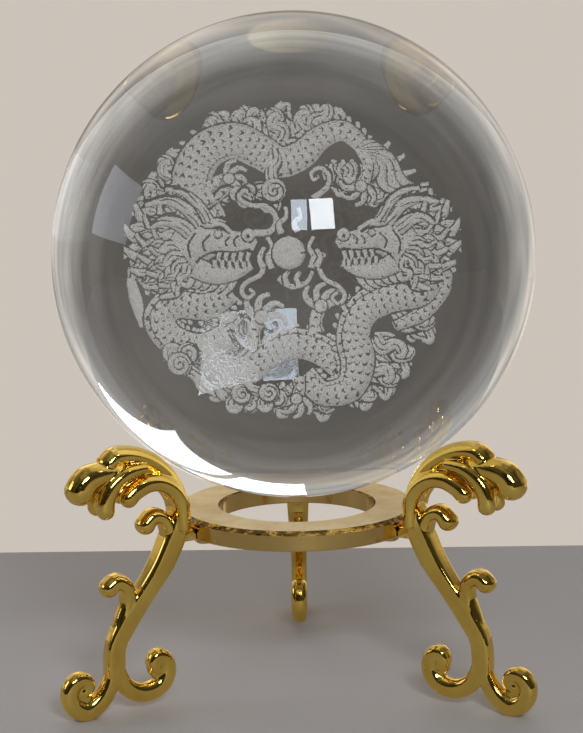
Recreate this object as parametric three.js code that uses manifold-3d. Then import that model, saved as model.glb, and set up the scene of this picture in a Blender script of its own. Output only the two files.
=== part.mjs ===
// A crystal ball on a three-legged cast metal stand.
// Millimetres, +Z up. The origin lies on the floor, on the upright axis that the ball and ring share.

import * as THREE from 'three';
import { mergeVertices } from 'three/addons/utils/BufferGeometryUtils.js';
import Module from 'manifold-3d';

const wasm = await Module();
wasm.setup();

// ---------------------------------------------------------------- driving dimensions

// Ball.
const ballRadius = 50;
const seatGap = 0.15;               // left between the glass and each leg's crest
const ballSides = 44;

// Ring.
const ringInnerRadius = 16.4;
const ringOuterRadius = 25.2;
const ringThickness = 4.1;
const ringTop = 38.6;
const ringBevel = 0.6;              // on the upper outer edge
const ringEase = 0.25;              // on the other three edges
const ringSides = 60;

// Joint between a leg and the ring: a tab lies in a pocket under the ring, and one screw holds it.
const tabWidth = 4.8;
const tabHeight = 2.3;              // where it shows, between the rim and the leg
const lapHeight = 1.5;              // where it lies in the pocket
const lapLength = 6.2;              // from the rim inwards
const fitGap = 0.3;                 // between the tab and the pocket, and under the screw's head

// Screw.
const shankRadius = 1.0;
const shankEngagement = 1.3;        // length of the shank inside the ring, above the lap
const headRadius = 1.9;
const headHeight = 1.3;
const headEdge = 0.7;               // upright part of the head's side
const recessWidth = 0.6;
const recessSpan = 2.2;
const recessDepth = 0.7;
const screwHoleRadius = 1.3;        // through the tab
const threadHoleRadius = 1.25;      // blind, in the ring
const threadHoleSpare = 0.2;        // beyond the shank's tip
const screwSides = 16;

// Leg.
const footRadius = 50;              // from the axis to the middle of the foot's flat
const footGrind = 0.35;             // taken off the outer volute to make that flat
const stemDepth = 5.3;              // across the leg at the ring's height
const footDepth = 3.7;              // across the leg at the foot
const crestDepth = 5.8;
const lobeDepth = 6.4;              // the big outer lobe of the plume
const pairSpread = 4.3;             // between the middles of a pair of curls
const pairDepth = 3.5;              // each curl of a pair
const scrollDepth = 4.9;
const midCurlDepth = 4.7;
const webDepth = 3.4;
const legAzimuths = { leg_rear: 90, leg_left: 210, leg_right: 330 };

// ---------------------------------------------------------------- derived places

const ringBottom = ringTop - ringThickness;
const lapTop = ringBottom + lapHeight;
const pocketTop = lapTop + fitGap;
const screwRadius = ringOuterRadius - lapLength / 2;
const shankTop = pocketTop + shankEngagement;

// A leg is drawn in its own upright plane: x runs outwards from the axis and y is the height.
// What belongs to the plume is placed from the ring's rim and top, and what belongs to the foot
// from the foot's flat, so both follow when the ring or the foot moves.
const atRing = (out, up) => new THREE.Vector2(ringOuterRadius + out, ringTop + up);
const atFoot = (out, up) => new THREE.Vector2(footRadius + out, up);

// The stem's straight-line run, and points on it pushed outwards by a bow.
const stemTop = atRing(4.0, -3.6);
const stemBottom = atFoot(-7.2, 15);
function onStem(share, bow) {
  const point = stemTop.clone().lerp(stemBottom, share);
  point.x += bow;
  return point;
}

// ---------------------------------------------------------------- solids

/** Merges a closed geometry's corners and hands it to the boolean library. */
function toSolid(geometry) {
  const bare = geometry.clone();
  bare.deleteAttribute('normal');
  bare.deleteAttribute('uv');
  const merged = mergeVertices(bare);
  return new wasm.Manifold(new wasm.Mesh({
    numProp: 3,
    vertProperties: new Float32Array(merged.attributes.position.array),
    triVerts: new Uint32Array(merged.index.array),
  }));
}

/** Turns a solid back into a geometry with flat faces. */
function toGeometry(solid) {
  const mesh = solid.getMesh();
  const geometry = new THREE.BufferGeometry();
  geometry.setAttribute('position', new THREE.BufferAttribute(mesh.vertProperties, 3));
  geometry.setIndex(new THREE.BufferAttribute(mesh.triVerts, 1));
  geometry.computeVertexNormals();
  return geometry;
}

function joinAll(solids) {
  return solids.reduce((whole, solid) => whole.add(solid));
}

/** A box between two corners. */
function boxBetween(low, high) {
  const size = new THREE.Vector3().subVectors(high, low);
  const middle = new THREE.Vector3().addVectors(low, high).multiplyScalar(0.5);
  return new THREE.BoxGeometry(size.x, size.y, size.z).translate(middle.x, middle.y, middle.z);
}

/** An upright solid of revolution from [radius, height] pairs that start and end on the axis. */
function turned(profile, sides) {
  const points = profile.map(([radius, height]) => new THREE.Vector2(radius, height));
  return new THREE.LatheGeometry(points, sides).rotateX(Math.PI / 2);
}

/** Raises |value| to a power and keeps its sign. */
function signedPower(value, power) {
  return Math.sign(value) * Math.abs(value) ** power;
}

/**
 * A tapering bar along a curve in the leg's plane.
 * Each station is [point, half of the width in the plane, half of the depth across the leg].
 * A squareness of 2 gives an elliptical section, and more gives flatter sides. The bar starts with
 * a flat end and finishes in a dome.
 */
function bar(stations, { steps, sides = 10, squareness = 2, side = 0 }) {
  const path = new THREE.SplineCurve(stations.map(([point]) => point));
  const sizes = new THREE.SplineCurve(stations.map(([, width, depth]) => new THREE.Vector2(width, depth)));
  const domeRings = 3;
  const rings = [];
  for (let i = 0; i <= steps; i += 1) {
    const t = i / steps;
    rings.push({ centre: path.getPoint(t), along: path.getTangent(t), size: sizes.getPoint(t) });
  }
  const last = rings[steps];
  for (let i = 1; i < domeRings; i += 1) {
    const angle = (i / domeRings) * (Math.PI / 2);
    const centre = last.centre.clone().addScaledVector(last.along, last.size.x * Math.sin(angle));
    rings.push({ centre, along: last.along, size: last.size.clone().multiplyScalar(Math.cos(angle)) });
  }
  const positions = [];
  for (const { centre, along, size } of rings) {
    for (let k = 0; k < sides; k += 1) {
      const angle = (k / sides) * Math.PI * 2;
      const across = size.x * signedPower(Math.cos(angle), 2 / squareness);
      const lateral = size.y * signedPower(Math.sin(angle), 2 / squareness);
      positions.push(centre.x - along.y * across, side + lateral, centre.y + along.x * across);
    }
  }
  const firstPole = positions.length / 3;
  positions.push(rings[0].centre.x, side, rings[0].centre.y);
  const tip = last.centre.clone().addScaledVector(last.along, last.size.x);
  positions.push(tip.x, side, tip.y);
  const index = [];
  for (let i = 0; i < rings.length - 1; i += 1) {
    for (let k = 0; k < sides; k += 1) {
      const a = i * sides + k;
      const b = i * sides + ((k + 1) % sides);
      index.push(a, b + sides, b, a, a + sides, b + sides);
    }
  }
  const lastRing = (rings.length - 1) * sides;
  for (let k = 0; k < sides; k += 1) {
    const next = (k + 1) % sides;
    index.push(firstPole, k, next);
    index.push(firstPole + 1, lastRing + next, lastRing + k);
  }
  const geometry = new THREE.BufferGeometry();
  geometry.setAttribute('position', new THREE.Float32BufferAttribute(positions, 3));
  geometry.setIndex(index);
  return geometry;
}

// ---------------------------------------------------------------- leg

const halfStem = stemDepth / 2;
const halfFoot = footDepth / 2;

const stemStations = [
  [atRing(2.6, 3.4), 1.7, halfStem],
  [atRing(3.0, 0), 1.8, halfStem],
  [stemTop, 1.95, halfStem],
  [onStem(0.25, -0.8), 1.9, 2.45],
  [onStem(0.5, -0.3), 1.75, 2.25],
  [onStem(0.75, 0.2), 1.8, 2.05],
  [stemBottom, 1.8, halfFoot],
  [atFoot(-6.9, 10), 1.85, halfFoot],
  [atFoot(-7.0, 7), 2.0, halfFoot],
];

const outerVoluteStations = [
  [atFoot(-6.9, 11), 1.5, halfFoot],
  [atFoot(-5.7, 6.8), 1.8, halfFoot],
  [atFoot(-3.5, 3.5), 2.05, halfFoot],
  [atFoot(-0.3, 2.1 - footGrind), 2.1, halfFoot],
  [atFoot(2.4, 3.1), 1.9, halfFoot],
  [atFoot(3.4, 5.6), 1.75, halfFoot],
  [atFoot(2.5, 8.0), 1.65, halfFoot],
  [atFoot(0.4, 8.7), 1.55, halfFoot],
  [atFoot(-0.8, 7.2), 1.45, halfFoot * 0.95],
  [atFoot(0.1, 5.9), 1.2, halfFoot * 0.85],
];

const innerVoluteStations = [
  [atFoot(-7.0, 11), 1.5, halfFoot],
  [atFoot(-8.3, 6.6), 1.8, halfFoot],
  [atFoot(-11.0, 4.1), 2.0, halfFoot],
  [atFoot(-14.2, 3.5), 2.05, halfFoot],
  [atFoot(-17.1, 4.6), 1.95, halfFoot],
  [atFoot(-18.6, 7.2), 1.8, halfFoot],
  [atFoot(-18.0, 9.9), 1.7, halfFoot],
  [atFoot(-16.2, 10.7), 1.6, halfFoot],
  [atFoot(-15.4, 9.1), 1.5, halfFoot * 0.95],
  [atFoot(-16.4, 7.9), 1.2, halfFoot * 0.85],
];

const midCurlStations = [
  [atFoot(-7.6, 14.5), 1.2, 1.8],
  [atFoot(-9.4, 19), 1.35, 1.9],
  [atFoot(-10.3, 23), 1.5, 2.0],
  [atFoot(-9.8, 26.2), 1.6, midCurlDepth / 2],
  [atFoot(-7.7, 27.9), 1.7, midCurlDepth / 2],
  [atFoot(-5.9, 26.6), 1.9, midCurlDepth / 2],
];

const scrollStations = [
  [atRing(6.0, -7.0), 1.1, 2.2],
  [atRing(5.3, -2.4), 1.3, scrollDepth / 2],
  [atRing(6.4, 0.7), 1.5, scrollDepth / 2],
  [atRing(8.6, 1.8), 1.65, scrollDepth / 2],
  [atRing(10.4, 0.0), 1.95, scrollDepth / 2],
];

const crestStations = [
  [atRing(2.9, -2.4), 1.6, halfStem],
  [atRing(2.5, 2.6), 1.7, 2.6],
  [atRing(3.4, 6.6), 1.8, 2.6],
  [atRing(5.8, 10.5), 1.8, 2.7],
  [atRing(9.1, 13.3), 1.85, crestDepth / 2],
  [atRing(13.0, 14.9), 1.9, crestDepth / 2],
  [atRing(16.5, 15.1), 1.9, crestDepth / 2],
  [atRing(18.5, 13.8), 1.9, crestDepth / 2],
];

const innerCurlStations = [
  [atRing(2.8, -1.6), 1.3, pairDepth / 2],
  [atRing(2.9, 3.4), 1.6, pairDepth / 2],
  [atRing(4.6, 6.8), 1.7, pairDepth / 2],
  [atRing(7.3, 8.7), 1.75, pairDepth / 2],
  [atRing(10.3, 9.0), 1.8, pairDepth / 2],
  [atRing(13.2, 7.8), 1.8, pairDepth / 2],
  [atRing(14.8, 6.4), 1.8, pairDepth / 2],
];

const middleCurlStations = [
  [atRing(10.8, 12.5), 1.1, pairDepth / 2],
  [atRing(14.8, 11.8), 1.4, pairDepth / 2],
  [atRing(17.9, 9.7), 1.65, pairDepth / 2],
  [atRing(19.6, 7.0), 1.8, pairDepth / 2],
  [atRing(19.9, 4.6), 1.85, pairDepth / 2],
];

const outerLobeStations = [
  [atRing(15.5, 12.4), 1.6, 2.4],
  [atRing(19.4, 12.0), 2.3, lobeDepth / 2],
  [atRing(22.8, 10.9), 2.8, lobeDepth / 2],
  [atRing(24.4, 8.9), 3.0, lobeDepth / 2],
];

// The thin floor of the valleys between the plume's curls.
const webOutline = [
  atRing(3.0, 1.0),
  atRing(3.4, 6.0),
  atRing(6.5, 10.8),
  atRing(11.0, 14.0),
  atRing(17.0, 14.6),
  atRing(20.5, 12.0),
  atRing(22.0, 8.4),
  atRing(19.6, 6.4),
  atRing(16.6, 9.4),
  atRing(14.0, 8.6),
  atRing(10.3, 9.4),
  atRing(6.2, 8.4),
  atRing(4.0, 4.6),
];

/** The web as a plate of even depth, centred on the leg's plane. */
function plumeWeb() {
  const outline = new THREE.Shape(webOutline);
  const plate = new THREE.ExtrudeGeometry(outline, { depth: webDepth, bevelEnabled: false });
  return plate.translate(0, 0, -webDepth / 2).rotateX(Math.PI / 2);
}

/** The tab: thick where it shows, thin where it lies in the ring's pocket. */
function legTab() {
  const half = tabWidth / 2;
  const rimClear = ringOuterRadius + fitGap;
  const shown = boxBetween(
    new THREE.Vector3(rimClear, -half, ringBottom),
    new THREE.Vector3(stemTop.x, half, ringBottom + tabHeight),
  );
  const lap = boxBetween(
    new THREE.Vector3(ringOuterRadius - lapLength, -half, ringBottom),
    new THREE.Vector3(stemTop.x, half, lapTop),
  );
  return toSolid(shown).add(toSolid(lap));
}

/** An upright pin for cutting a hole, at a distance from the axis. */
function holePin(radius, from, to) {
  const pin = new THREE.CylinderGeometry(radius, radius, to - from, screwSides);
  return toSolid(pin.rotateX(Math.PI / 2).translate(screwRadius, 0, (from + to) / 2));
}

/** Everything below the floor, cut from the foot to leave its flat. */
function belowFloor() {
  const reach = footRadius * 2;
  return toSolid(boxBetween(new THREE.Vector3(0, -reach, -reach), new THREE.Vector3(reach, reach, 0)));
}

/** One leg, in the plane through the axis and +X. */
function legSolid() {
  const pair = [-pairSpread / 2, pairSpread / 2];
  const bars = [
    bar(stemStations, { steps: 13, squareness: 3.2 }),
    bar(outerVoluteStations, { steps: 21, sides: 8, squareness: 2.6 }),
    bar(innerVoluteStations, { steps: 21, sides: 8, squareness: 2.6 }),
    bar(midCurlStations, { steps: 10, sides: 8, squareness: 2.4 }),
    bar(scrollStations, { steps: 8, sides: 8, squareness: 2.4 }),
    bar(crestStations, { steps: 13, squareness: 2.2 }),
    bar(outerLobeStations, { steps: 6 }),
    ...pair.map((side) => bar(innerCurlStations, { steps: 10, sides: 8, side })),
    ...pair.map((side) => bar(middleCurlStations, { steps: 7, sides: 8, side })),
    plumeWeb(),
  ];
  return joinAll(bars.map(toSolid))
    .add(legTab())
    .subtract(holePin(screwHoleRadius, ringBottom - lapHeight, shankTop))
    .subtract(belowFloor());
}

// ---------------------------------------------------------------- ring

/** The flat ring, with a pocket and a blind threaded hole under it for each leg. */
function ringSolid() {
  const profile = [
    [ringInnerRadius, ringBottom + ringEase],
    [ringInnerRadius + ringEase, ringBottom],
    [ringOuterRadius - ringEase, ringBottom],
    [ringOuterRadius, ringBottom + ringEase],
    [ringOuterRadius, ringTop - ringBevel],
    [ringOuterRadius - ringBevel, ringTop],
    [ringInnerRadius + ringEase, ringTop],
    [ringInnerRadius, ringTop - ringEase],
    [ringInnerRadius, ringBottom + ringEase],
  ];
  const half = tabWidth / 2 + fitGap;
  const pocket = toSolid(boxBetween(
    new THREE.Vector3(ringOuterRadius - lapLength - fitGap, -half, ringBottom - ringThickness),
    new THREE.Vector3(ringOuterRadius * 2, half, pocketTop),
  ));
  const cut = pocket.add(holePin(threadHoleRadius, ringBottom, shankTop + threadHoleSpare));
  return Object.values(legAzimuths).reduce(
    (ring, azimuth) => ring.subtract(cut.rotate([0, 0, azimuth])),
    toSolid(turned(profile, ringSides)),
  );
}

// ---------------------------------------------------------------- screw

/** A cross-recessed pan-head screw, head down, standing at its place on the +X side. */
function screwSolid() {
  const headTop = ringBottom - fitGap;
  const headBottom = headTop - headHeight;
  const tipEase = 0.25;
  const body = toSolid(turned([
    [0, headBottom],
    [headRadius * 0.6, headBottom + 0.12],
    [headRadius * 0.92, headTop - headEdge],
    [headRadius, headTop - headEdge / 2],
    [headRadius, headTop],
    [shankRadius, headTop],
    [shankRadius, shankTop - tipEase],
    [shankRadius - tipEase, shankTop],
    [0, shankTop],
  ], screwSides).translate(screwRadius, 0, 0));
  const reach = recessSpan / 2;
  const slot = recessWidth / 2;
  const floor = headBottom - recessDepth;
  const roof = headBottom + recessDepth;
  const arms = [[reach, slot], [slot, reach]].map(([x, y]) => toSolid(boxBetween(
    new THREE.Vector3(screwRadius - x, -y, floor),
    new THREE.Vector3(screwRadius + x, y, roof),
  )));
  return body.subtract(joinAll(arms));
}

// ---------------------------------------------------------------- ball

/** The lowest height of the ball's middle at which it clears every crest and the ring's hole. */
function ballHeight() {
  const path = new THREE.SplineCurve(crestStations.map(([point]) => point));
  const widths = new THREE.SplineCurve(crestStations.map(([, width]) => new THREE.Vector2(width, 0)));
  const samples = 200;
  const rim = ballRadius + seatGap;
  let height = ringTop + Math.sqrt(rim ** 2 - ringInnerRadius ** 2);
  for (let i = 0; i <= samples; i += 1) {
    const point = path.getPoint(i / samples);
    const reach = rim + widths.getPoint(i / samples).x;
    if (reach > point.x) {
      height = Math.max(height, point.y + Math.sqrt(reach ** 2 - point.x ** 2));
    }
  }
  return height;
}

// ---------------------------------------------------------------- assembly

const glass = { color: 0xe9edee, roughness: 0.02, metalness: 0 };
const polishedGold = { color: 0xc8973a, roughness: 0.16, metalness: 1 };
const satinGold = { color: 0xc9a768, roughness: 0.32, metalness: 1 };
const screwGold = { color: 0xb98c3c, roughness: 0.28, metalness: 1 };

/** A named mesh, turned about the upright axis. */
function piece(name, geometry, finish, azimuth = 0) {
  const mesh = new THREE.Mesh(geometry, new THREE.MeshStandardMaterial(finish));
  mesh.name = name;
  mesh.rotation.z = THREE.MathUtils.degToRad(azimuth);
  return mesh;
}

const assembly = new THREE.Group();

const ball = new THREE.SphereGeometry(ballRadius, ballSides, ballSides / 2).rotateX(Math.PI / 2);
const ballPiece = piece('crystal_ball', ball, glass);
ballPiece.position.z = ballHeight();
assembly.add(ballPiece);

assembly.add(piece('seat_ring', toGeometry(ringSolid()), satinGold));

for (const [name, azimuth] of Object.entries(legAzimuths)) {
  assembly.add(piece(name, toGeometry(legSolid()), polishedGold, azimuth));
  assembly.add(piece(name.replace('leg', 'screw'), toGeometry(screwSolid()), screwGold, azimuth));
}

export default assembly;
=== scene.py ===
"""A clear glass sphere with an engraved roundel inside it, on a gold ring stand with three scrolled legs."""

import logging
import math
from contextlib import contextmanager
from dataclasses import dataclass, field
from enum import Enum
from typing import Any, Callable, Iterator, Sequence

import bmesh
import bpy
import numpy as np
from mathutils import Matrix, Vector


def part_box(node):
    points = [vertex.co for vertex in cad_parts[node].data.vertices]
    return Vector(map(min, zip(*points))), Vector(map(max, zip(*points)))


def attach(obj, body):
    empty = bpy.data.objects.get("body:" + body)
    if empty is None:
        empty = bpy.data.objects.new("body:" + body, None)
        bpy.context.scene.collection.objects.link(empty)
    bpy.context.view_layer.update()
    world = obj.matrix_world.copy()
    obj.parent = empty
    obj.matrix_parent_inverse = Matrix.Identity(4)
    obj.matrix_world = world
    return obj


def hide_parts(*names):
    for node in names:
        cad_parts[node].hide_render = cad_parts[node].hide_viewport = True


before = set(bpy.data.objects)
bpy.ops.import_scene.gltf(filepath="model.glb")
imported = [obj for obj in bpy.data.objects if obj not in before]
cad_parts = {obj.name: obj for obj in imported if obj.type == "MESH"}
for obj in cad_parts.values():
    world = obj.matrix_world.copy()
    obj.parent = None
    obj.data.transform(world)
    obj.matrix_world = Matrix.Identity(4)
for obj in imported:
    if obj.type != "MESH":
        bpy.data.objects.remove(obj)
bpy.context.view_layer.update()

LOG = logging.getLogger("crystal_ball")
MM = 0.001

Point = tuple[float, float]
Colour = tuple[float, float, float]
Piece = bpy.types.Object
Material = bpy.types.Material
Socket = bpy.types.NodeSocket


class Body(Enum):
    """The bodies that the pieces ride on."""

    STAND = "stand"
    BALL = "ball"


class Slot(Enum):
    """The material slots of the record."""

    GLASS = "clear_glass"
    ENGRAVING = "laser_engraving"
    RING = "satin_gold"
    LEG = "polished_gold"
    SCREW = "screw_gold"


class Pattern(Enum):
    """How the marks of one engraved stroke are spread over its width."""

    SCALES = "overlapping scales with a plated belly along one edge"
    PLAIN = "an even, rounded relief"
    HAIR = "long combed locks"
    CLEAR = "a groove with no marks"
    GRAINY = "an open, speckled relief"


# ---------------------------------------------------------------- modelling helpers


@contextmanager
def editing(piece: Piece) -> Iterator[Piece]:
    """Opens a piece in edit mode with nothing selected, and closes it again.

    Args:
        piece: The mesh object to edit.

    Returns:
        The same object, for the length of the with block.
    """
    focus(piece)
    bpy.ops.object.mode_set(mode="EDIT")
    bpy.ops.mesh.select_all(action="DESELECT")
    yield piece
    bpy.ops.object.mode_set(mode="OBJECT")


def focus(piece: Piece) -> None:
    """Makes a piece the only selected object, and the active one.

    Args:
        piece: The object to select.
    """
    bpy.ops.object.select_all(action="DESELECT")
    piece.select_set(True)
    bpy.context.view_layer.objects.active = piece


def new_piece(name: str, add: Callable[..., Any], **settings: Any) -> Piece:
    """Adds a primitive with nothing else selected and names it.

    Args:
        name: The new object's name.
        add: The primitive operator.
        **settings: The operator's own settings.

    Returns:
        The new object.
    """
    bpy.ops.object.select_all(action="DESELECT")
    add(**settings)
    piece = bpy.context.active_object
    piece.name = name
    piece.data.name = name
    return piece


def apply_modifier(piece: Piece, kind: str, **settings: Any) -> None:
    """Adds a modifier with its settings and applies it.

    Args:
        piece: The object that gets the modifier.
        kind: The modifier's type.
        **settings: Values for the modifier's own properties.
    """
    focus(piece)
    modifier = piece.modifiers.new(kind.lower(), kind)
    for key, value in settings.items():
        setattr(modifier, key, value)
    bpy.ops.object.modifier_apply(modifier=modifier.name)


def settle(piece: Piece) -> None:
    """Puts a piece's place, turn and scale into its mesh."""
    focus(piece)
    bpy.ops.object.transform_apply(location=True, rotation=True, scale=True)


def join(pieces: Sequence[Piece]) -> Piece:
    """Joins several meshes into the first one.

    Args:
        pieces: The objects to join; the first keeps its name.

    Returns:
        The joined object.
    """
    focus(pieces[0])
    for piece in pieces[1:]:
        piece.select_set(True)
    bpy.ops.object.join()
    return pieces[0]


def cut_away(piece: Piece, tool: Piece) -> None:
    """Subtracts a tool's shape from a piece and removes the tool."""
    apply_modifier(piece, "BOOLEAN", operation="DIFFERENCE", solver="EXACT", object=tool)
    bpy.data.objects.remove(tool)


def box_between(name: str, low: Sequence[float], high: Sequence[float]) -> Piece:
    """Makes a block from its lowest and highest corners.

    Args:
        name: The new object's name.
        low: The lowest corner.
        high: The highest corner.

    Returns:
        The new object.
    """
    start, end = Vector(low), Vector(high)
    block = new_piece(name, bpy.ops.mesh.primitive_cube_add, size=1, location=(start + end) / 2)
    block.scale = end - start
    settle(block)
    return block


def upright_pin(name: str, radius: float, depth: float, place: Sequence[float]) -> Piece:
    """Makes an upright cylinder to cut a round hole with.

    Args:
        name: The new object's name.
        radius: Its radius.
        depth: Its whole height.
        place: Its middle.

    Returns:
        The new object.
    """
    pin = new_piece(name, bpy.ops.mesh.primitive_cylinder_add, vertices=48, radius=radius, depth=depth,
                    location=place)
    settle(pin)
    return pin


def spin_round(steps: int, merge: float) -> None:
    """Spins the outline that is open in edit mode into a closed skin about the upright axis.

    Args:
        steps: How many steps make the full turn.
        merge: How near two points lie to become one.
    """
    bpy.ops.mesh.select_all(action="SELECT")
    bpy.ops.mesh.spin(steps=steps, angle=math.tau, center=(0, 0, 0), axis=(0, 0, 1))
    bpy.ops.mesh.select_all(action="SELECT")
    bpy.ops.mesh.remove_doubles(threshold=merge)
    bpy.ops.mesh.normals_make_consistent(inside=False)


def turned_copy(piece: Piece, name: str, angle: float) -> Piece:
    """Copies a piece with its own mesh and turns the copy about the upright axis.

    Args:
        piece: The object to copy.
        name: The copy's name.
        angle: The turn, in radians.

    Returns:
        The copy, with its turn in its mesh.
    """
    copy = piece.copy()
    copy.data = piece.data.copy()
    copy.name = name
    copy.data.name = name
    bpy.context.collection.objects.link(copy)
    copy.rotation_euler = (0, 0, angle)
    settle(copy)
    return copy


def shade(piece: Piece, degrees: float = 180) -> None:
    """Shades a piece smoothly, with sharp edges past an angle."""
    focus(piece)
    bpy.ops.object.shade_smooth_by_angle(angle=math.radians(degrees), keep_sharp_edges=False)


def dress(piece: Piece, material: Material, body: Body, node: str = "") -> None:
    """Gives a piece its material, its body and its slot, and reports it.

    Args:
        piece: The finished piece.
        material: Its material.
        body: The body that it rides on.
        node: The node that it stands for, if there is one.
    """
    piece.data.materials.append(material)
    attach(piece, body.value)
    if node:
        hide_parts(node)
    LOG.info("%s: %d faces", piece.name, len(piece.data.polygons))


def power(value: float, exponent: float) -> float:
    """Raises a number's size to a power and keeps its sign."""
    return math.copysign(abs(value) ** exponent, value)


def along(rows: np.ndarray, share: float) -> np.ndarray:
    """Reads a smooth curve that passes through every row at even steps of its length.

    Args:
        rows: The points, one a row, with any further values beside them.
        share: How far along, from 0 to 1.

    Returns:
        The curve's row at that share.
    """
    last = len(rows) - 1
    place = min(max(share, 0.0), 1.0) * last
    start = min(int(place), last - 1)
    t = place - start
    before, here = rows[max(start - 1, 0)], rows[start]
    there, after = rows[start + 1], rows[min(start + 2, last)]
    leave, arrive = (there - before) / 2, (after - here) / 2
    bend = 2 * here - 2 * there + leave + arrive
    sweep = -3 * here + 3 * there - 2 * leave - arrive
    return ((bend * t + sweep) * t + leave) * t + here


# ---------------------------------------------------------------- node helpers


class Tree:
    """A node tree with short calls that add and link its nodes."""

    def __init__(self, tree: bpy.types.NodeTree) -> None:
        """Keeps the tree."""
        self.tree = tree

    def add(self, kind: str, inputs: dict[Any, Any] | None = None, **settings: Any) -> bpy.types.Node:
        """Adds a node.

        Args:
            kind: The node's type, without the leading ShaderNode.
            inputs: Values or source sockets for its inputs, by name or number.
            **settings: The node's own properties.

        Returns:
            The new node.
        """
        node = self.tree.nodes.new("ShaderNode" + kind)
        for key, value in settings.items():
            setattr(node, key, value)
        for key, value in (inputs or {}).items():
            if isinstance(value, Socket):
                self.tree.links.new(value, node.inputs[key])
            else:
                node.inputs[key].default_value = value
        return node

    def link(self, source: Socket, target: Socket) -> None:
        """Joins two sockets."""
        self.tree.links.new(source, target)

    def object_place(self) -> Socket:
        """Gives the socket with the surface's own place, in metres."""
        return self.add("TexCoord").outputs["Object"]

    def noise(self, place: Socket, scale: Any, detail: float = 3, roughness: float = 0.55) -> Socket:
        """Adds a noise pattern.

        Args:
            place: The socket with the coordinates.
            scale: How many features to a metre, as a number or a socket.
            detail: How many finer layers it has.
            roughness: How strong the finer layers are.

        Returns:
            The pattern's value, from 0 to 1.
        """
        values = {"Vector": place, "Scale": scale, "Detail": detail, "Roughness": roughness}
        return self.add("TexNoise", values).outputs["Fac"]

    def spread(self, value: Any, low: float, high: float, to_low: Any, to_high: Any) -> Socket:
        """Maps a range of values to another, held at its ends.

        Args:
            value: The socket to map.
            low: The value that gives to_low.
            high: The value that gives to_high.
            to_low: The result at the low end, as a number or a socket.
            to_high: The result at the high end, as a number or a socket.

        Returns:
            The mapped value.
        """
        values = {"Value": value, "From Min": low, "From Max": high, "To Min": to_low, "To Max": to_high}
        return self.add("MapRange", values).outputs["Result"]

    def math(self, operation: str, first: Any, second: Any = 0.0) -> Socket:
        """Adds a sum, a product or another operation on two numbers.

        Args:
            operation: The operation's name.
            first: The first number or socket.
            second: The second number or socket.

        Returns:
            The result.
        """
        return self.add("Math", {0: first, 1: second}, operation=operation).outputs["Value"]

    def mix(self, share: Any, first: Any, second: Any, blend: str = "MIX") -> Socket:
        """Mixes two colours.

        Args:
            share: How much of the second, as a number or a socket.
            first: The first colour or socket.
            second: The second colour or socket.
            blend: The way of mixing.

        Returns:
            The mixed colour.
        """
        ends = [value if isinstance(value, Socket) else (*value, 1) for value in (first, second)]
        node = self.add("Mix", {0: share, 6: ends[0], 7: ends[1]}, data_type="RGBA", blend_type=blend)
        return node.outputs[2]

    def bump(self, height: Socket, distance: float, strength: float = 1.0,
             under: Socket | None = None) -> Socket:
        """Turns a height into a normal.

        Args:
            height: The height, from 0 to 1.
            distance: What a height of 1 stands for, in metres.
            strength: The share of it that shows.
            under: A normal that it lies over, if there is one.

        Returns:
            The normal.
        """
        values = {"Height": height, "Distance": distance, "Strength": strength}
        if under is not None:
            values["Normal"] = under
        return self.add("Bump", values).outputs["Normal"]


def new_group(name: str, inputs: dict[str, Any], outputs: dict[str, str]) -> tuple[Tree, dict, dict]:
    """Makes a node group with named inputs and outputs.

    Args:
        name: The group's name.
        inputs: Each input's default: a number, or a colour of three numbers.
        outputs: Each output's kind, Float or Color.

    Returns:
        The group's tree, its inputs by name and its outputs by name.
    """
    group = bpy.data.node_groups.new(name, "ShaderNodeTree")
    for key, value in inputs.items():
        kind = "Color" if isinstance(value, tuple) else "Float"
        socket = group.interface.new_socket(key, in_out="INPUT", socket_type="NodeSocket" + kind)
        socket.default_value = (*value, 1) if isinstance(value, tuple) else value
    for key, kind in outputs.items():
        group.interface.new_socket(key, in_out="OUTPUT", socket_type="NodeSocket" + kind)
    entry = group.nodes.new("NodeGroupInput")
    result = group.nodes.new("NodeGroupOutput")
    named_inputs = {key: entry.outputs[key] for key in inputs}
    named_outputs = {key: result.inputs[key] for key in outputs}
    return Tree(group), named_inputs, named_outputs


def place_group(tree: Tree, group: Tree, **values: Any) -> bpy.types.Node:
    """Places a node group in a material with its own values.

    Args:
        tree: The material's tree.
        group: The group to place.
        **values: Numbers or colours for the group's inputs, with _ for a space in the name.

    Returns:
        The group's node.
    """
    node = tree.add("Group", node_tree=group.tree)
    for key, value in values.items():
        socket = node.inputs[key.replace("_", " ")]
        socket.default_value = (*value, 1) if isinstance(value, tuple) else value
    return node


def new_material(slot: Slot) -> tuple[Material, Tree, bpy.types.Node]:
    """Makes an empty material with a Principled shader.

    Args:
        slot: The record's slot that the material is for, which gives its name.

    Returns:
        The material, its tree and its shader node.
    """
    material = bpy.data.materials.new(slot.value)
    material.use_nodes = True
    tree = Tree(material.node_tree)
    return material, tree, material.node_tree.nodes["Principled BSDF"]


# ---------------------------------------------------------------- effects that materials share


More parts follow.
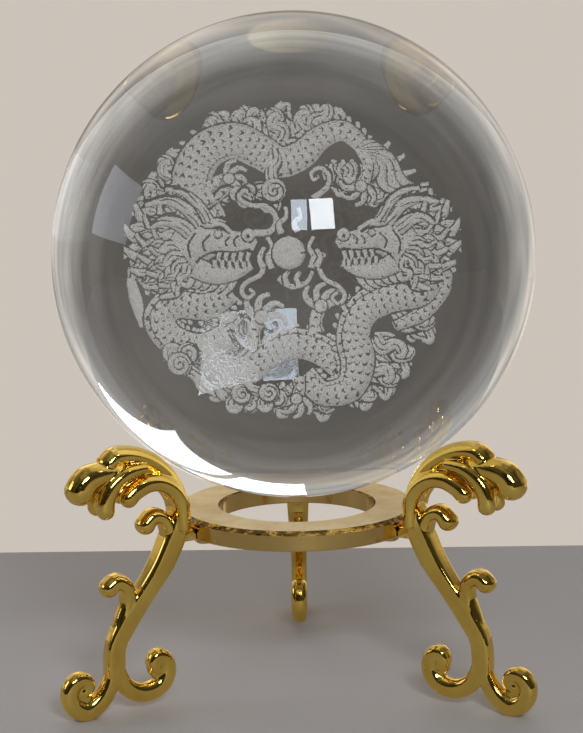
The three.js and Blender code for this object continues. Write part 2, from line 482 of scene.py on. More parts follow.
class SurfaceEffects:
    """The node groups that the finishes share."""

    def __init__(self) -> None:
        """Builds each group once."""
        self.casting = self.cast_surface()
        self.polish = self.polish_lines()
        self.handling = self.handling_marks()

    @staticmethod
    def cast_surface() -> Tree:
        """Builds the plated casting: two tones of gold, amber painted shade in the hollows, paler painted
        highlights on sharp edges that also wear rougher, ripples and pits.

        Returns:
            The group.
        """
        tree, given, result = new_group(
            "cast_surface",
            {"Bright": (0.85, 0.6, 0.2), "Deep": (0.6, 0.35, 0.06), "Roughness": 0.1, "Ripple Scale": 500.0},
            {"Colour": "Color", "Roughness": "Float", "Height": "Float"})
        place = tree.object_place()
        cloud = tree.spread(tree.noise(place, 110.0), 0.35, 0.65, 0.0, 1.0)
        tone = tree.mix(tree.math("MULTIPLY", cloud, 0.35), given["Bright"], given["Deep"])
        point = tree.add("NewGeometry").outputs["Pointiness"]
        # painted shade: the hollows are coloured a darker amber gold, as though less light reached them
        painted_hollow_shade = tree.spread(point, 0.49, 0.42, 0.0, 0.75)
        # painted highlight: sharp convex edges get a paler gold colour; the same mask also adds wear
        # roughness below
        edge = tree.spread(point, 0.53, 0.6, 0.0, 0.35)
        tone = tree.mix(painted_hollow_shade, tone, given["Deep"])
        tree.link(tree.mix(edge, tone, (0.95, 0.82, 0.5)), result["Colour"])
        ripple = tree.noise(place, given["Ripple Scale"], 2)
        pits = tree.spread(tree.noise(place, 3400.0, 1), 0.72, 0.8, 0.0, 1.0)
        patch = tree.spread(tree.noise(place, 260.0, 4), 0.45, 0.75, 0.0, 0.05)
        wear = tree.math("ADD", tree.math("MULTIPLY", edge, 0.2), tree.math("MULTIPLY", pits, 0.25))
        tree.link(tree.math("ADD", tree.math("ADD", given["Roughness"], patch), wear), result["Roughness"])
        tree.link(tree.math("SUBTRACT", ripple, tree.math("MULTIPLY", pits, 0.5)), result["Height"])
        return tree

    @staticmethod
    def polish_lines() -> Tree:
        """Builds the fine crossing lines that hand polishing leaves.

        Returns:
            The group.
        """
        tree, given, result = new_group(
            "polish_lines", {"Fineness": 1.0}, {"Height": "Float", "Mask": "Float"})
        place = tree.object_place()
        lines = []
        for turn, stretch in ((0.4, (7000, 260, 260)), (2.1, (6000, 200, 320)), (1.2, (260, 240, 6500))):
            values = {"Vector": place, "Rotation": (turn, turn / 3, turn), "Scale": stretch}
            line = tree.noise(tree.add("Mapping", values).outputs[0], given["Fineness"], 2)
            lines.append(tree.spread(line, 0.6, 0.75, 0.0, 1.0))
        crossing = tree.math("MAXIMUM", tree.math("MAXIMUM", lines[0], lines[1]), lines[2])
        tree.link(crossing, result["Height"])
        tree.link(crossing, result["Mask"])
        return tree

    @staticmethod
    def handling_marks() -> Tree:
        """Builds faint smudges from fingers, with specks of dust.

        Returns:
            The group.
        """
        tree, given, result = new_group(
            "handling_marks", {"Size": 60.0}, {"Smudge": "Float", "Dust": "Float"})
        place = tree.object_place()
        smudge = tree.noise(place, given["Size"], 5, 0.65)
        tree.link(tree.spread(smudge, 0.55, 0.75, 0.0, 1.0), result["Smudge"])
        tree.link(tree.spread(tree.noise(place, 2600.0, 1), 0.8, 0.86, 0.0, 1.0), result["Dust"])
        return tree


# ---------------------------------------------------------------- finishes


@dataclass(frozen=True)
class GoldFinish:
    """Bright gold plating over a polished casting."""

    slot: Slot
    bright: Colour
    deep: Colour
    roughness: float
    ripple_scale: float
    ripple_depth: float

    def material(self, effects: SurfaceEffects) -> Material:
        """Makes the material.

        Args:
            effects: The shared node groups.

        Returns:
            The material.
        """
        material, tree, shader = new_material(self.slot)
        casting = place_group(tree, effects.casting, Bright=self.bright, Deep=self.deep,
                              Roughness=self.roughness, Ripple_Scale=self.ripple_scale)
        polish = place_group(tree, effects.polish, Fineness=1.0)
        smudge = place_group(tree, effects.handling, Size=90.0).outputs["Smudge"]
        shader.inputs["Metallic"].default_value = 1.0
        tree.link(casting.outputs["Colour"], shader.inputs["Base Color"])
        worn = tree.math("ADD", casting.outputs["Roughness"], tree.math("MULTIPLY", smudge, 0.04))
        rough = tree.math("ADD", worn, tree.math("MULTIPLY", polish.outputs["Mask"], 0.04))
        tree.link(rough, shader.inputs["Roughness"])
        fine = tree.bump(polish.outputs["Height"], 0.004 * MM, 0.5)
        tree.link(tree.bump(casting.outputs["Height"], self.ripple_depth, 1.0, fine), shader.inputs["Normal"])
        return material


@dataclass(frozen=True)
class RingFinish:
    """The ring's plating: a satin top face, a filed rim coloured with a painted dark reflection and painted
    glints, and polished walls.
    """

    slot: Slot
    satin: Colour
    bright: Colour
    deep: Colour
    # the near-black colour painted on the rim's chamfer as its reflection of the dark room
    rim_dark_reflection: Colour = (0.13, 0.08, 0.02)

    def material(self, effects: SurfaceEffects) -> Material:
        """Makes the material.

        Args:
            effects: The shared node groups.

        Returns:
            The material.
        """
        material, tree, shader = new_material(self.slot)
        casting = place_group(tree, effects.casting, Bright=self.bright, Deep=self.deep,
                              Roughness=0.12, Ripple_Scale=420.0)
        polish = place_group(tree, effects.polish, Fineness=1.0)
        place = tree.object_place()
        normal = tree.add("NewGeometry").outputs["True Normal"]
        up = tree.add("SeparateXYZ", {"Vector": normal}).outputs["Z"]
        facing = tree.spread(up, 0.93, 0.99, 0.0, 1.0)
        blotch = tree.noise(place, 160.0, 5, 0.62)
        tone = tree.mix(tree.spread(blotch, 0.4, 0.68, 0.0, 0.6), self.satin, self.bright)
        below_top = tree.spread(up, 0.97, 0.9, 0.0, 1.0)
        rim = tree.math("MULTIPLY", tree.spread(up, 0.3, 0.6, 0.0, 1.0), below_top)
        # painted reflection: the chamfer is coloured near black, with bright painted glints, standing in for
        # what it reflects
        painted_glint = tree.spread(tree.noise(place, 300.0, 4, 0.6), 0.5, 0.6, 0.0, 1.0)
        painted_rim_reflection = tree.mix(painted_glint, self.rim_dark_reflection, self.bright)
        colour = tree.mix(facing, tree.mix(rim, casting.outputs["Colour"], painted_rim_reflection), tone)
        tree.link(colour, shader.inputs["Base Color"])
        shader.inputs["Metallic"].default_value = 1.0
        satin_rough = tree.spread(tree.noise(place, 700.0, 4), 0.3, 0.7, 0.3, 0.46)
        satin_rough = tree.math("ADD", satin_rough, tree.math("MULTIPLY", polish.outputs["Mask"], -0.08))
        difference = tree.math("SUBTRACT", satin_rough, casting.outputs["Roughness"])
        rough = tree.math("MULTIPLY_ADD", difference, facing)
        tree.link(casting.outputs["Roughness"], rough.node.inputs[2])
        tree.link(rough, shader.inputs["Roughness"])
        nicks = tree.spread(tree.noise(place, 900.0, 2), 0.62, 0.74, 0.0, 1.0)
        hammer = tree.bump(tree.math("MULTIPLY", tree.noise(place, 640.0, 3), rim), 0.7 * MM)
        satin = tree.bump(tree.math("MULTIPLY", polish.outputs["Height"], facing), 0.012 * MM, 0.6, hammer)
        swell = tree.bump(tree.math("SUBTRACT", casting.outputs["Height"], nicks), 0.012 * MM, 1.0, satin)
        tree.link(swell, shader.inputs["Normal"])
        return material


@dataclass(frozen=True)
class GlassFinish:
    """Polished optical glass with faint handling marks."""

    refraction: float = 1.52
    slot: Slot = Slot.GLASS

    def material(self, effects: SurfaceEffects) -> Material:
        """Makes the material.

        Args:
            effects: The shared node groups.

        Returns:
            The material.
        """
        material, tree, shader = new_material(self.slot)
        marks = place_group(tree, effects.handling, Size=38.0)
        shader.inputs["Transmission Weight"].default_value = 1.0
        shader.inputs["IOR"].default_value = self.refraction
        tint = tree.mix(tree.noise(tree.object_place(), 30.0), (0.975, 0.985, 0.985), (0.99, 0.99, 0.985))
        tree.link(tint, shader.inputs["Base Color"])
        smear = tree.math("MULTIPLY", marks.outputs["Smudge"], 0.012)
        rough = tree.math("ADD", smear, tree.math("MULTIPLY", marks.outputs["Dust"], 0.05))
        tree.link(rough, shader.inputs["Roughness"])
        return material


@dataclass(frozen=True)
class EngravingFinish:
    """The white of microscopic fractures inside the glass, darkened by painted relief shading and made to
    give off a painted glow.
    """

    colour: Colour = (0.70, 0.69, 0.665)
    # painted glow: the marks give off light of their own, though they are no lamp
    painted_glow: float = 0.33
    slot: Slot = Slot.ENGRAVING
    # the colour layer that holds the painted shading of the relief
    layer: str = "relief"

    def material(self, effects: SurfaceEffects) -> Material:
        """Makes the material.

        Args:
            effects: The shared node groups.

        Returns:
            The material.
        """
        material, tree, shader = new_material(self.slot)
        # the colour layer's painted shading of the relief, under a light from the upper left front, darkens
        # the white and the painted glow
        relief = tree.add("VertexColor", layer_name=self.layer).outputs["Color"]
        speck = tree.spread(tree.noise(tree.object_place(), 2500.0, 1), 0.3, 0.7, 0.8, 1.0)
        fleck = tree.add("CombineColor", {0: speck, 1: speck, 2: speck}).outputs[0]
        white = tree.mix(1.0, tree.mix(1.0, relief, fleck, "MULTIPLY"), self.colour, "MULTIPLY")
        tree.link(white, shader.inputs["Base Color"])
        tree.link(white, shader.inputs["Emission Color"])
        tree.link(tree.spread(speck, 0.8, 1.0, 0.95, 0.8), shader.inputs["Roughness"])
        shader.inputs["Emission Strength"].default_value = self.painted_glow
        return material


# ---------------------------------------------------------------- glass ball


@dataclass
class GlassBall:
    """The glass sphere."""

    centre: Vector
    radius: float
    cuts: int = 95
    name: str = "glass_ball"

    def build(self, finish: GlassFinish, effects: SurfaceEffects) -> Piece:
        """Makes the sphere from a finely cut cube, so that its faces are even all over.

        Args:
            finish: The glass.
            effects: The shared node groups.

        Returns:
            The sphere.
        """
        ball = new_piece(self.name, bpy.ops.mesh.primitive_cube_add, size=2 * self.radius)
        with editing(ball):
            bpy.ops.mesh.select_all(action="SELECT")
            bpy.ops.mesh.subdivide(number_cuts=self.cuts)
        apply_modifier(ball, "CAST", cast_type="SPHERE", factor=1.0, radius=0.0, size=self.radius,
                       use_radius_as_size=False)
        ball.location = self.centre
        settle(ball)
        shade(ball)
        dress(ball, finish.material(effects), Body.BALL, "crystal_ball")
        return ball


# ---------------------------------------------------------------- stand


@dataclass
class RingSizes:
    """The seat ring and the joints under it, in metres."""

    outer_radius: float
    bottom: float
    top: float
    inner_radius: float = 16.4 * MM
    bevel: float = 0.85 * MM
    ease: float = 0.25 * MM
    tab_width: float = 4.8 * MM
    tab_height: float = 2.3 * MM
    lap_height: float = 1.5 * MM
    lap_length: float = 6.2 * MM
    fit_gap: float = 0.3 * MM
    shank_radius: float = 1.0 * MM
    shank_engagement: float = 1.3 * MM
    hole_radius: float = 1.3 * MM
    thread_radius: float = 1.25 * MM
    thread_spare: float = 0.2 * MM
    tab_root: float = 4.0 * MM
    tab_ease: float = 0.12 * MM

    @property
    def lap_top(self) -> float:
        """Gives the height of the lap's upper face."""
        return self.bottom + self.lap_height

    @property
    def pocket_top(self) -> float:
        """Gives the height of the pocket's roof."""
        return self.lap_top + self.fit_gap

    @property
    def screw_radius(self) -> float:
        """Gives the screws' distance from the axis."""
        return self.outer_radius - self.lap_length / 2

    @property
    def shank_top(self) -> float:
        """Gives the height of the screws' tips."""
        return self.pocket_top + self.shank_engagement


@dataclass
class SeatRing:
    """The flat ring that ties the legs together."""

    sizes: RingSizes
    azimuths: dict[str, float]
    steps: int = 360
    sharp_past: float = 32.0
    waves: tuple[int, ...] = (5, 11, 23, 41, 67)
    wave_out: float = 0.14 * MM
    wave_in: float = 0.05 * MM
    wave_down: float = 0.12 * MM
    seed: int = 4
    name: str = "ring"

    def build(self, finish: RingFinish, effects: SurfaceEffects) -> Piece:
        """Spins the ring's section about the axis and cuts its pockets and threaded holes.

        Args:
            finish: The ring's plating.
            effects: The shared node groups.

        Returns:
            The ring.
        """
        sizes = self.sizes
        middle = (sizes.inner_radius + sizes.outer_radius) / 2
        half_way = (sizes.top + sizes.bottom) / 2
        ring = new_piece(self.name, bpy.ops.mesh.primitive_plane_add, size=1)
        ring.rotation_euler = (math.pi / 2, 0, 0)
        ring.scale = (sizes.outer_radius - sizes.inner_radius, sizes.top - sizes.bottom, 1)
        ring.location = (middle, 0, half_way)
        settle(ring)
        with editing(ring):
            self.ease_corner(ring, lambda place: place.x > middle and place.z > half_way, sizes.bevel)
            self.ease_corner(ring, lambda place: place.x < middle or place.z < half_way, sizes.ease)
            bpy.ops.mesh.select_all(action="SELECT")
            bpy.ops.mesh.delete(type="ONLY_FACE")
            spin_round(self.steps, 0.01 * MM)
        self.wear_rim(ring)
        for azimuth in self.azimuths.values():
            self.cut_joint(ring, azimuth)
        shade(ring, self.sharp_past)
        dress(ring, finish.material(effects), Body.STAND, "seat_ring")
        return ring

    @staticmethod
    def ease_corner(ring: Piece, chosen: Callable[[Vector], bool], width: float) -> None:
        """Cuts chosen corners of the section off.

        Args:
            ring: The section, in edit mode.
            chosen: Says whether a corner at a place is one of them.
            width: The cut's width.
        """
        mesh = bmesh.from_edit_mesh(ring.data)
        for vertex in mesh.verts:
            vertex.select = chosen(vertex.co)
        bmesh.update_edit_mesh(ring.data)
        bpy.ops.mesh.bevel(affect="VERTICES", offset=width, segments=1)
        bpy.ops.mesh.select_all(action="DESELECT")

    def wear_rim(self, ring: Piece) -> None:
        """Makes the upper outer edge uneven, as a file and a polishing wheel leave it.

        Args:
            ring: The ring, before its joints are cut.
        """
        sizes, hair = self.sizes, 0.01 * MM
        random = np.random.default_rng(self.seed)
        waves = [(count, random.uniform(0, math.tau), random.uniform(0.3, 1.0)) for count in self.waves]
        total = sum(size for _, _, size in waves)
        for vertex in ring.data.vertices:
            out = math.hypot(vertex.co.x, vertex.co.y)
            angle = math.atan2(vertex.co.y, vertex.co.x)
            wave = sum(size * math.sin(count * angle + shift) for count, shift, size in waves) / total
            on_top = vertex.co.z > sizes.top - hair and out > sizes.outer_radius - 2 * sizes.bevel
            on_wall = out > sizes.outer_radius - hair and vertex.co.z > sizes.top - 1.5 * sizes.bevel
            if on_top:
                scale = 1 + (self.wave_out * wave - self.wave_in) / out
                vertex.co.x *= scale
                vertex.co.y *= scale
            elif on_wall:
                vertex.co.z += self.wave_down * wave

    def cut_joint(self, ring: Piece, azimuth: float) -> None:
        """Cuts one leg's pocket and its threaded hole from beneath.

        Args:
            ring: The ring.
            azimuth: The leg's bearing, in radians.
        """
        sizes, depth = self.sizes, 3 * MM
        half = sizes.tab_width / 2 + sizes.fit_gap
        inner = sizes.outer_radius - sizes.lap_length - sizes.fit_gap
        pocket = box_between("pocket", (inner, -half, sizes.bottom - 1 * MM),
                             (sizes.outer_radius * 1.2, half, sizes.pocket_top))
        hole = upright_pin("thread_hole", sizes.thread_radius, depth,
                           (sizes.screw_radius, 0, sizes.shank_top + sizes.thread_spare - depth / 2))
        for tool in (pocket, hole):
            tool.rotation_euler = (0, 0, azimuth)
            settle(tool)
            cut_away(ring, tool)


@dataclass
class Bar:
    """One curved bar of a leg: its stations and the way its section is squared.

    A station is its place out from the axis and up, its half width in the leg's plane and its half depth.
    """

    stations: list[tuple[Point, float, float]]
    squareness: float = 2.4
    side: float = 0.0


@dataclass
class LegShape:
    """The curves of one scrolled leg, in millimetres in its own upright plane."""

    ring_radius: float
    ring_top: float
    foot_radius: float = 50.0
    foot_grind: float = 0.35
    foot_deep: float = 1.85
    curl_deep: float = 1.75
    pair_spread: float = 4.3
    half_web: float = 1.7

    def at_ring(self, out: float, up: float) -> Point:
        """Places a point from the ring's top outer edge."""
        return (self.ring_radius + out, self.ring_top + up)

    def at_foot(self, out: float, up: float) -> Point:
        """Places a point from the middle of the foot."""
        return (self.foot_radius + out, up)

    def on_stem(self, share: float, bow: float) -> Point:
        """Places a point on the stem, between its top and the foot's fork."""
        top, bottom = self.at_ring(4.0, -3.6), self.at_foot(-7.2, 15.0)
        return (top[0] + (bottom[0] - top[0]) * share + bow, top[1] + (bottom[1] - top[1]) * share)

    def stem(self) -> Bar:
        """Gives the stem, from beside the ring down to the fork.

        Returns:
            The bar.
        """
        ring, foot = self.at_ring, self.at_foot
        return Bar([(ring(2.6, 3.4), 1.7, 2.65), (ring(3.2, 0), 2.0, 2.65), (ring(4.5, -3.6), 2.35, 2.65),
                    (self.on_stem(0.25, -0.35), 2.25, 2.45), (self.on_stem(0.5, -0.1), 2.0, 2.25),
                    (self.on_stem(0.75, 0.3), 2.15, 2.05), (foot(-7.3, 15.0), 2.0, 1.85),
                    (foot(-6.7, 10), 2.05, 1.85), (foot(-7.0, 7), 2.0, 1.85)], 4.8)

    def outer_volute(self) -> Bar:
        """Gives the foot's outer scroll, which stands on the table.

        Returns:
            The bar.
        """
        foot, deep = self.at_foot, self.foot_deep
        return Bar([(foot(-6.9, 11), 1.5, deep), (foot(-5.7, 6.8), 1.8, deep), (foot(-3.5, 3.5), 2.05, deep),
                    (foot(-0.3, 2.1 - self.foot_grind), 2.1, deep), (foot(2.4, 3.1), 1.9, deep),
                    (foot(3.4, 5.6), 1.75, deep), (foot(2.5, 8.0), 1.65, deep), (foot(0.4, 8.7), 1.55, deep),
                    (foot(-0.8, 7.2), 1.45, deep * 0.95), (foot(0.1, 5.9), 1.2, deep * 0.85)], 2.6)

    def inner_volute(self) -> Bar:
        """Gives the foot's inner scroll.

        Returns:
            The bar.
        """
        foot, deep = self.at_foot, self.foot_deep
        return Bar([(foot(-7.0, 11), 1.5, deep), (foot(-8.3, 6.6), 1.8, deep), (foot(-11, 4.1), 2.0, deep),
                    (foot(-14.2, 3.5), 2.05, deep), (foot(-17.1, 4.6), 1.95, deep),
                    (foot(-18.6, 7.2), 1.8, deep), (foot(-18, 9.9), 1.7, deep),
                    (foot(-16.2, 10.7), 1.6, deep), (foot(-15.4, 9.1), 1.5, deep * 0.95),
                    (foot(-16.4, 7.9), 1.2, deep * 0.85)], 2.6)

    def mid_curl(self) -> Bar:
        """Gives the curl half way up the stem's outer side.

        Returns:
            The bar.
        """
        foot = self.at_foot
        return Bar([(foot(-7.0, 12.5), 1.5, 1.6), (foot(-8.4, 18.4), 1.7, 1.85),
                    (foot(-10.0, 23), 1.6, 2.0), (foot(-9.8, 26.2), 1.6, 2.35),
                    (foot(-7.7, 27.9), 1.7, 2.35), (foot(-5.9, 26.6), 1.9, 2.35)])

    def scroll(self) -> Bar:
        """Gives the small scroll under the plume.

        Returns:
            The bar.
        """
        ring = self.at_ring
        return Bar([(ring(5.4, -9.5), 1.0, 2.1), (ring(5.2, -3.0), 1.4, 2.45), (ring(6.3, 0.7), 1.5, 2.45),
                    (ring(8.6, 1.8), 1.65, 2.45), (ring(10.4, 0), 1.95, 2.45)])

    def crest(self) -> Bar:
        """Gives the plume's crest, which the ball rests on.

        Returns:
            The bar.
        """
        ring = self.at_ring
        return Bar([(ring(2.9, -2.4), 1.6, 2.65), (ring(2.5, 2.6), 1.7, 2.6), (ring(3.4, 6.6), 1.8, 2.6),
                    (ring(5.8, 10.5), 1.8, 2.7), (ring(9.1, 13.3), 1.85, 2.9), (ring(13, 14.9), 1.9, 2.9),
                    (ring(16.5, 15.1), 1.9, 2.9), (ring(18.5, 13.8), 1.9, 2.9)], 2.2)

    def inner_curl(self, side: float) -> Bar:
        """Gives one of the pair of inner curls.

        Args:
            side: How far it lies to one side of the leg's plane.

        Returns:
            The bar.
        """
        ring, deep = self.at_ring, self.curl_deep
        return Bar([(ring(2.8, -1.6), 1.3, deep), (ring(2.9, 3.4), 1.6, deep), (ring(4.6, 6.8), 1.7, deep),
                    (ring(7.3, 8.7), 1.75, deep), (ring(10.3, 9), 1.8, deep), (ring(13.2, 7.8), 1.8, deep),
                    (ring(14.8, 6.4), 1.8, deep)], side=side)

    def middle_curl(self, side: float) -> Bar:
        """Gives one of the pair of middle curls.

        Args:
            side: How far it lies to one side of the leg's plane.

        Returns:
            The bar.
        """
        ring, deep = self.at_ring, self.curl_deep
        return Bar([(ring(10.8, 12.5), 1.1, deep), (ring(14.8, 11.8), 1.4, deep),
                    (ring(17.9, 9.7), 1.65, deep), (ring(19.6, 7), 1.8, deep),
                    (ring(19.9, 4.6), 1.85, deep)], side=side)

    def outer_lobe(self) -> Bar:
        """Gives the plume's heavy outermost lobe.

        Returns:
            The bar.
        """
        ring = self.at_ring
        return Bar([(ring(15.5, 12.4), 1.6, 2.4), (ring(19.4, 12), 2.3, 3.2), (ring(22.8, 10.9), 2.8, 3.2),
                    (ring(24.4, 8.9), 3.0, 3.2)])

    def web(self) -> list[Point]:
        """Gives the outline of the sunk web between the plume's curls.

        Returns:
            The outline's points.
        """
        places = [(3, 1), (3.4, 6), (6.5, 10.8), (11, 14), (17, 14.6), (20.5, 12), (22, 8.4), (19.6, 6.4),
                  (16.6, 9.4), (14, 8.6), (10.3, 9.4), (6.2, 8.4), (4, 4.6)]
        return [self.at_ring(out, up) for out, up in places]

    def eyes(self) -> list[tuple[Point, float, float]]:
        """Gives the middle, radius and half depth of the disc in each foot scroll."""
        foot = self.at_foot
        return [(foot(0.9, 6.0), 2.5, 1.05), (foot(-16.6, 8.2), 2.4, 1.05)]

    def bars(self) -> list[Bar]:
        """Gives every bar of the leg.

        Returns:
            The bars; the first names the casting.
        """
        pair = self.pair_spread / 2
        paired = [curl(side) for curl in (self.inner_curl, self.middle_curl) for side in (-pair, pair)]
        return [self.stem(), self.outer_volute(), self.inner_volute(), self.mid_curl(), self.scroll(),
                self.crest(), self.outer_lobe(), *paired]


@dataclass
class CastLegs:
    """The three scrolled legs, modelled once and turned to their places."""

    shape: LegShape
    joint: RingSizes
    azimuths: dict[str, float]
    sides: int = 32
    steps_per_station: int = 4
    dome_steps: int = 4
    eye_bevel: float = 0.3 * MM
    skin: float = 0.21 * MM
    smoothing: int = 5
    sharp_past: float = 60.0

    def build(self, finish: GoldFinish, effects: SurfaceEffects) -> list[Piece]:
        """Models a leg, copies it to each azimuth and dresses the copies.

        Args:
            finish: The legs' plating.
            effects: The shared node groups.

        Returns:
            The three legs.
        """
        bars = [self.bar(f"bar_{number}", bar) for number, bar in enumerate(self.shape.bars())]
        casting = join([*bars, self.web(), *self.eyes()])
        self.fuse(casting)
        self.finish_joint(casting)
        material = finish.material(effects)
        legs = []
        for name, azimuth in self.azimuths.items():
            leg = turned_copy(casting, f"cast_leg_{name}", azimuth)
            shade(leg, self.sharp_past)
            dress(leg, material, Body.STAND, f"leg_{name}")
            legs.append(leg)
        bpy.data.objects.remove(casting)
        return legs

    def section(self, bar: Bar, row: np.ndarray, ahead: np.ndarray, scale: float = 1.0) -> list[Vector]:
        """Works out one section of a bar.

        Args:
            bar: The bar.
            row: The station's place out and up, its half width and its half depth, in millimetres.
            ahead: The bar's direction there, out and up.
            scale: The section's size beside the station's own, for a rounded end.

        Returns:
            The section's points, in metres.
        """
        points = []
        for number in range(self.sides):
            angle = math.tau * number / self.sides
            across = row[2] * scale * power(math.cos(angle), 2 / bar.squareness)
            deep = row[3] * scale * power(math.sin(angle), 2 / bar.squareness)
            out, up = row[0] - ahead[1] * across, row[1] + ahead[0] * across
            points.append(Vector((out, bar.side + deep, up)) * MM)
        return points

    def sections(self, bar: Bar) -> list[list[Vector]]:
        """Works out every section of a bar, with its domed end.

        Args:
            bar: The bar.

        Returns:
            The sections in order.
        """
        rows = np.array([(*place, width, depth) for place, width, depth in bar.stations], float)
        count = (len(rows) - 1) * self.steps_per_station
        sections = []
        for step in range(count + 1):
            share = step / count
            gone = along(rows, share + 0.01)[:2] - along(rows, share - 0.01)[:2]
            ahead = gone / np.linalg.norm(gone)
            row = along(rows, share)
            sections.append(self.section(bar, row, ahead))
        for step in range(1, self.dome_steps + 1):
            angle = math.pi / 2 * step / (self.dome_steps + 0.3)
            moved = row.copy()
            moved[:2] += ahead * row[2] * math.sin(angle)
            sections.append(self.section(bar, moved, ahead, math.cos(angle)))
        return sections

    def bar(self, name: str, bar: Bar) -> Piece:
        """Extrudes one bar, section by section.

        Args:
            name: The new object's name.
            bar: The bar.

        Returns:
            The bar as a closed mesh.
        """
        piece = new_piece(name, bpy.ops.mesh.primitive_circle_add, vertices=self.sides, radius=1 * MM,
                          fill_type="NGON")
        first, *others = self.sections(bar)
        with editing(piece):
            mesh = bmesh.from_edit_mesh(piece.data)
            number = mesh.verts.layers.int.new("number")
            for index, vertex in enumerate(mesh.verts):
                vertex[number] = index
            bpy.ops.mesh.select_all(action="SELECT")
            self.place_selected(piece, first)
            for section in others:
                bpy.ops.mesh.extrude_region_move()
                self.place_selected(piece, section)
        return piece

    @staticmethod
    def place_selected(piece: Piece, section: list[Vector]) -> None:
        """Moves the selected vertices to a section's points, by their numbers round the bar.

        Args:
            piece: The bar, in edit mode.
            section: The points.
        """
        mesh = bmesh.from_edit_mesh(piece.data)
        number = mesh.verts.layers.int["number"]
        for vertex in mesh.verts:
            if vertex.select:
                vertex.co = section[vertex[number]]
        bmesh.update_edit_mesh(piece.data)

    def web(self) -> Piece:
        """Extrudes the plume's web from its outline.

        Returns:
            The web as a closed mesh.
        """
        outline = self.shape.web()
        half = self.shape.half_web
        web = new_piece("web", bpy.ops.mesh.primitive_circle_add, vertices=len(outline), radius=1 * MM,
                        fill_type="NGON")
        for vertex, (out, up) in zip(web.data.vertices, outline):
            vertex.co = Vector((out, -half, up)) * MM
        with editing(web):
            bpy.ops.mesh.select_all(action="SELECT")
            bpy.ops.mesh.extrude_region_move(TRANSFORM_OT_translate={"value": (0, 2 * half * MM, 0)})
        return web

    def eyes(self) -> list[Piece]:
        """Makes the sunk disc that closes the middle of each foot scroll.

        Returns:
            The discs as closed meshes.
        """
        discs = []
        for (out, up), radius, half in self.shape.eyes():
            disc = new_piece("eye", bpy.ops.mesh.primitive_cylinder_add, vertices=24, radius=radius * MM,
                             depth=2 * half * MM, location=(out * MM, 0, up * MM),
                             rotation=(math.pi / 2, 0, 0))
            settle(disc)
            apply_modifier(disc, "BEVEL", width=self.eye_bevel, segments=2)
            discs.append(disc)
        return discs

    def fuse(self, casting: Piece) -> None:
        """Fuses the bars into one skin with soft joins, and grinds the foot flat.

        Args:
            casting: The joined bars.
        """
        apply_modifier(casting, "REMESH", mode="VOXEL", voxel_size=self.skin, adaptivity=0.0)
        apply_modifier(casting, "SMOOTH", factor=0.5, iterations=self.smoothing)
        cut_away(casting, box_between("ground", (0, -20 * MM, -10 * MM), (80 * MM, 20 * MM, 0)))

    def finish_joint(self, casting: Piece) -> None:
        """Adds the tab that lies under the ring, and drills it for its screw.

        Args:
            casting: The leg.
        """
        joint = self.joint
        half, root = joint.tab_width / 2, joint.outer_radius + joint.tab_root
        for name, start, top in (("tab", joint.outer_radius + joint.fit_gap, joint.bottom + joint.tab_height),
                                 ("lap", joint.outer_radius - joint.lap_length, joint.lap_top)):
            block = box_between(name, (start, -half, joint.bottom), (root, half, top))
            apply_modifier(block, "BEVEL", width=joint.tab_ease, segments=2)
            apply_modifier(casting, "BOOLEAN", operation="UNION", solver="EXACT", object=block)
            bpy.data.objects.remove(block)
        hole_place = (joint.screw_radius, 0, joint.lap_top)
        cut_away(casting, upright_pin("screw_hole", joint.hole_radius, 4 * MM, hole_place))


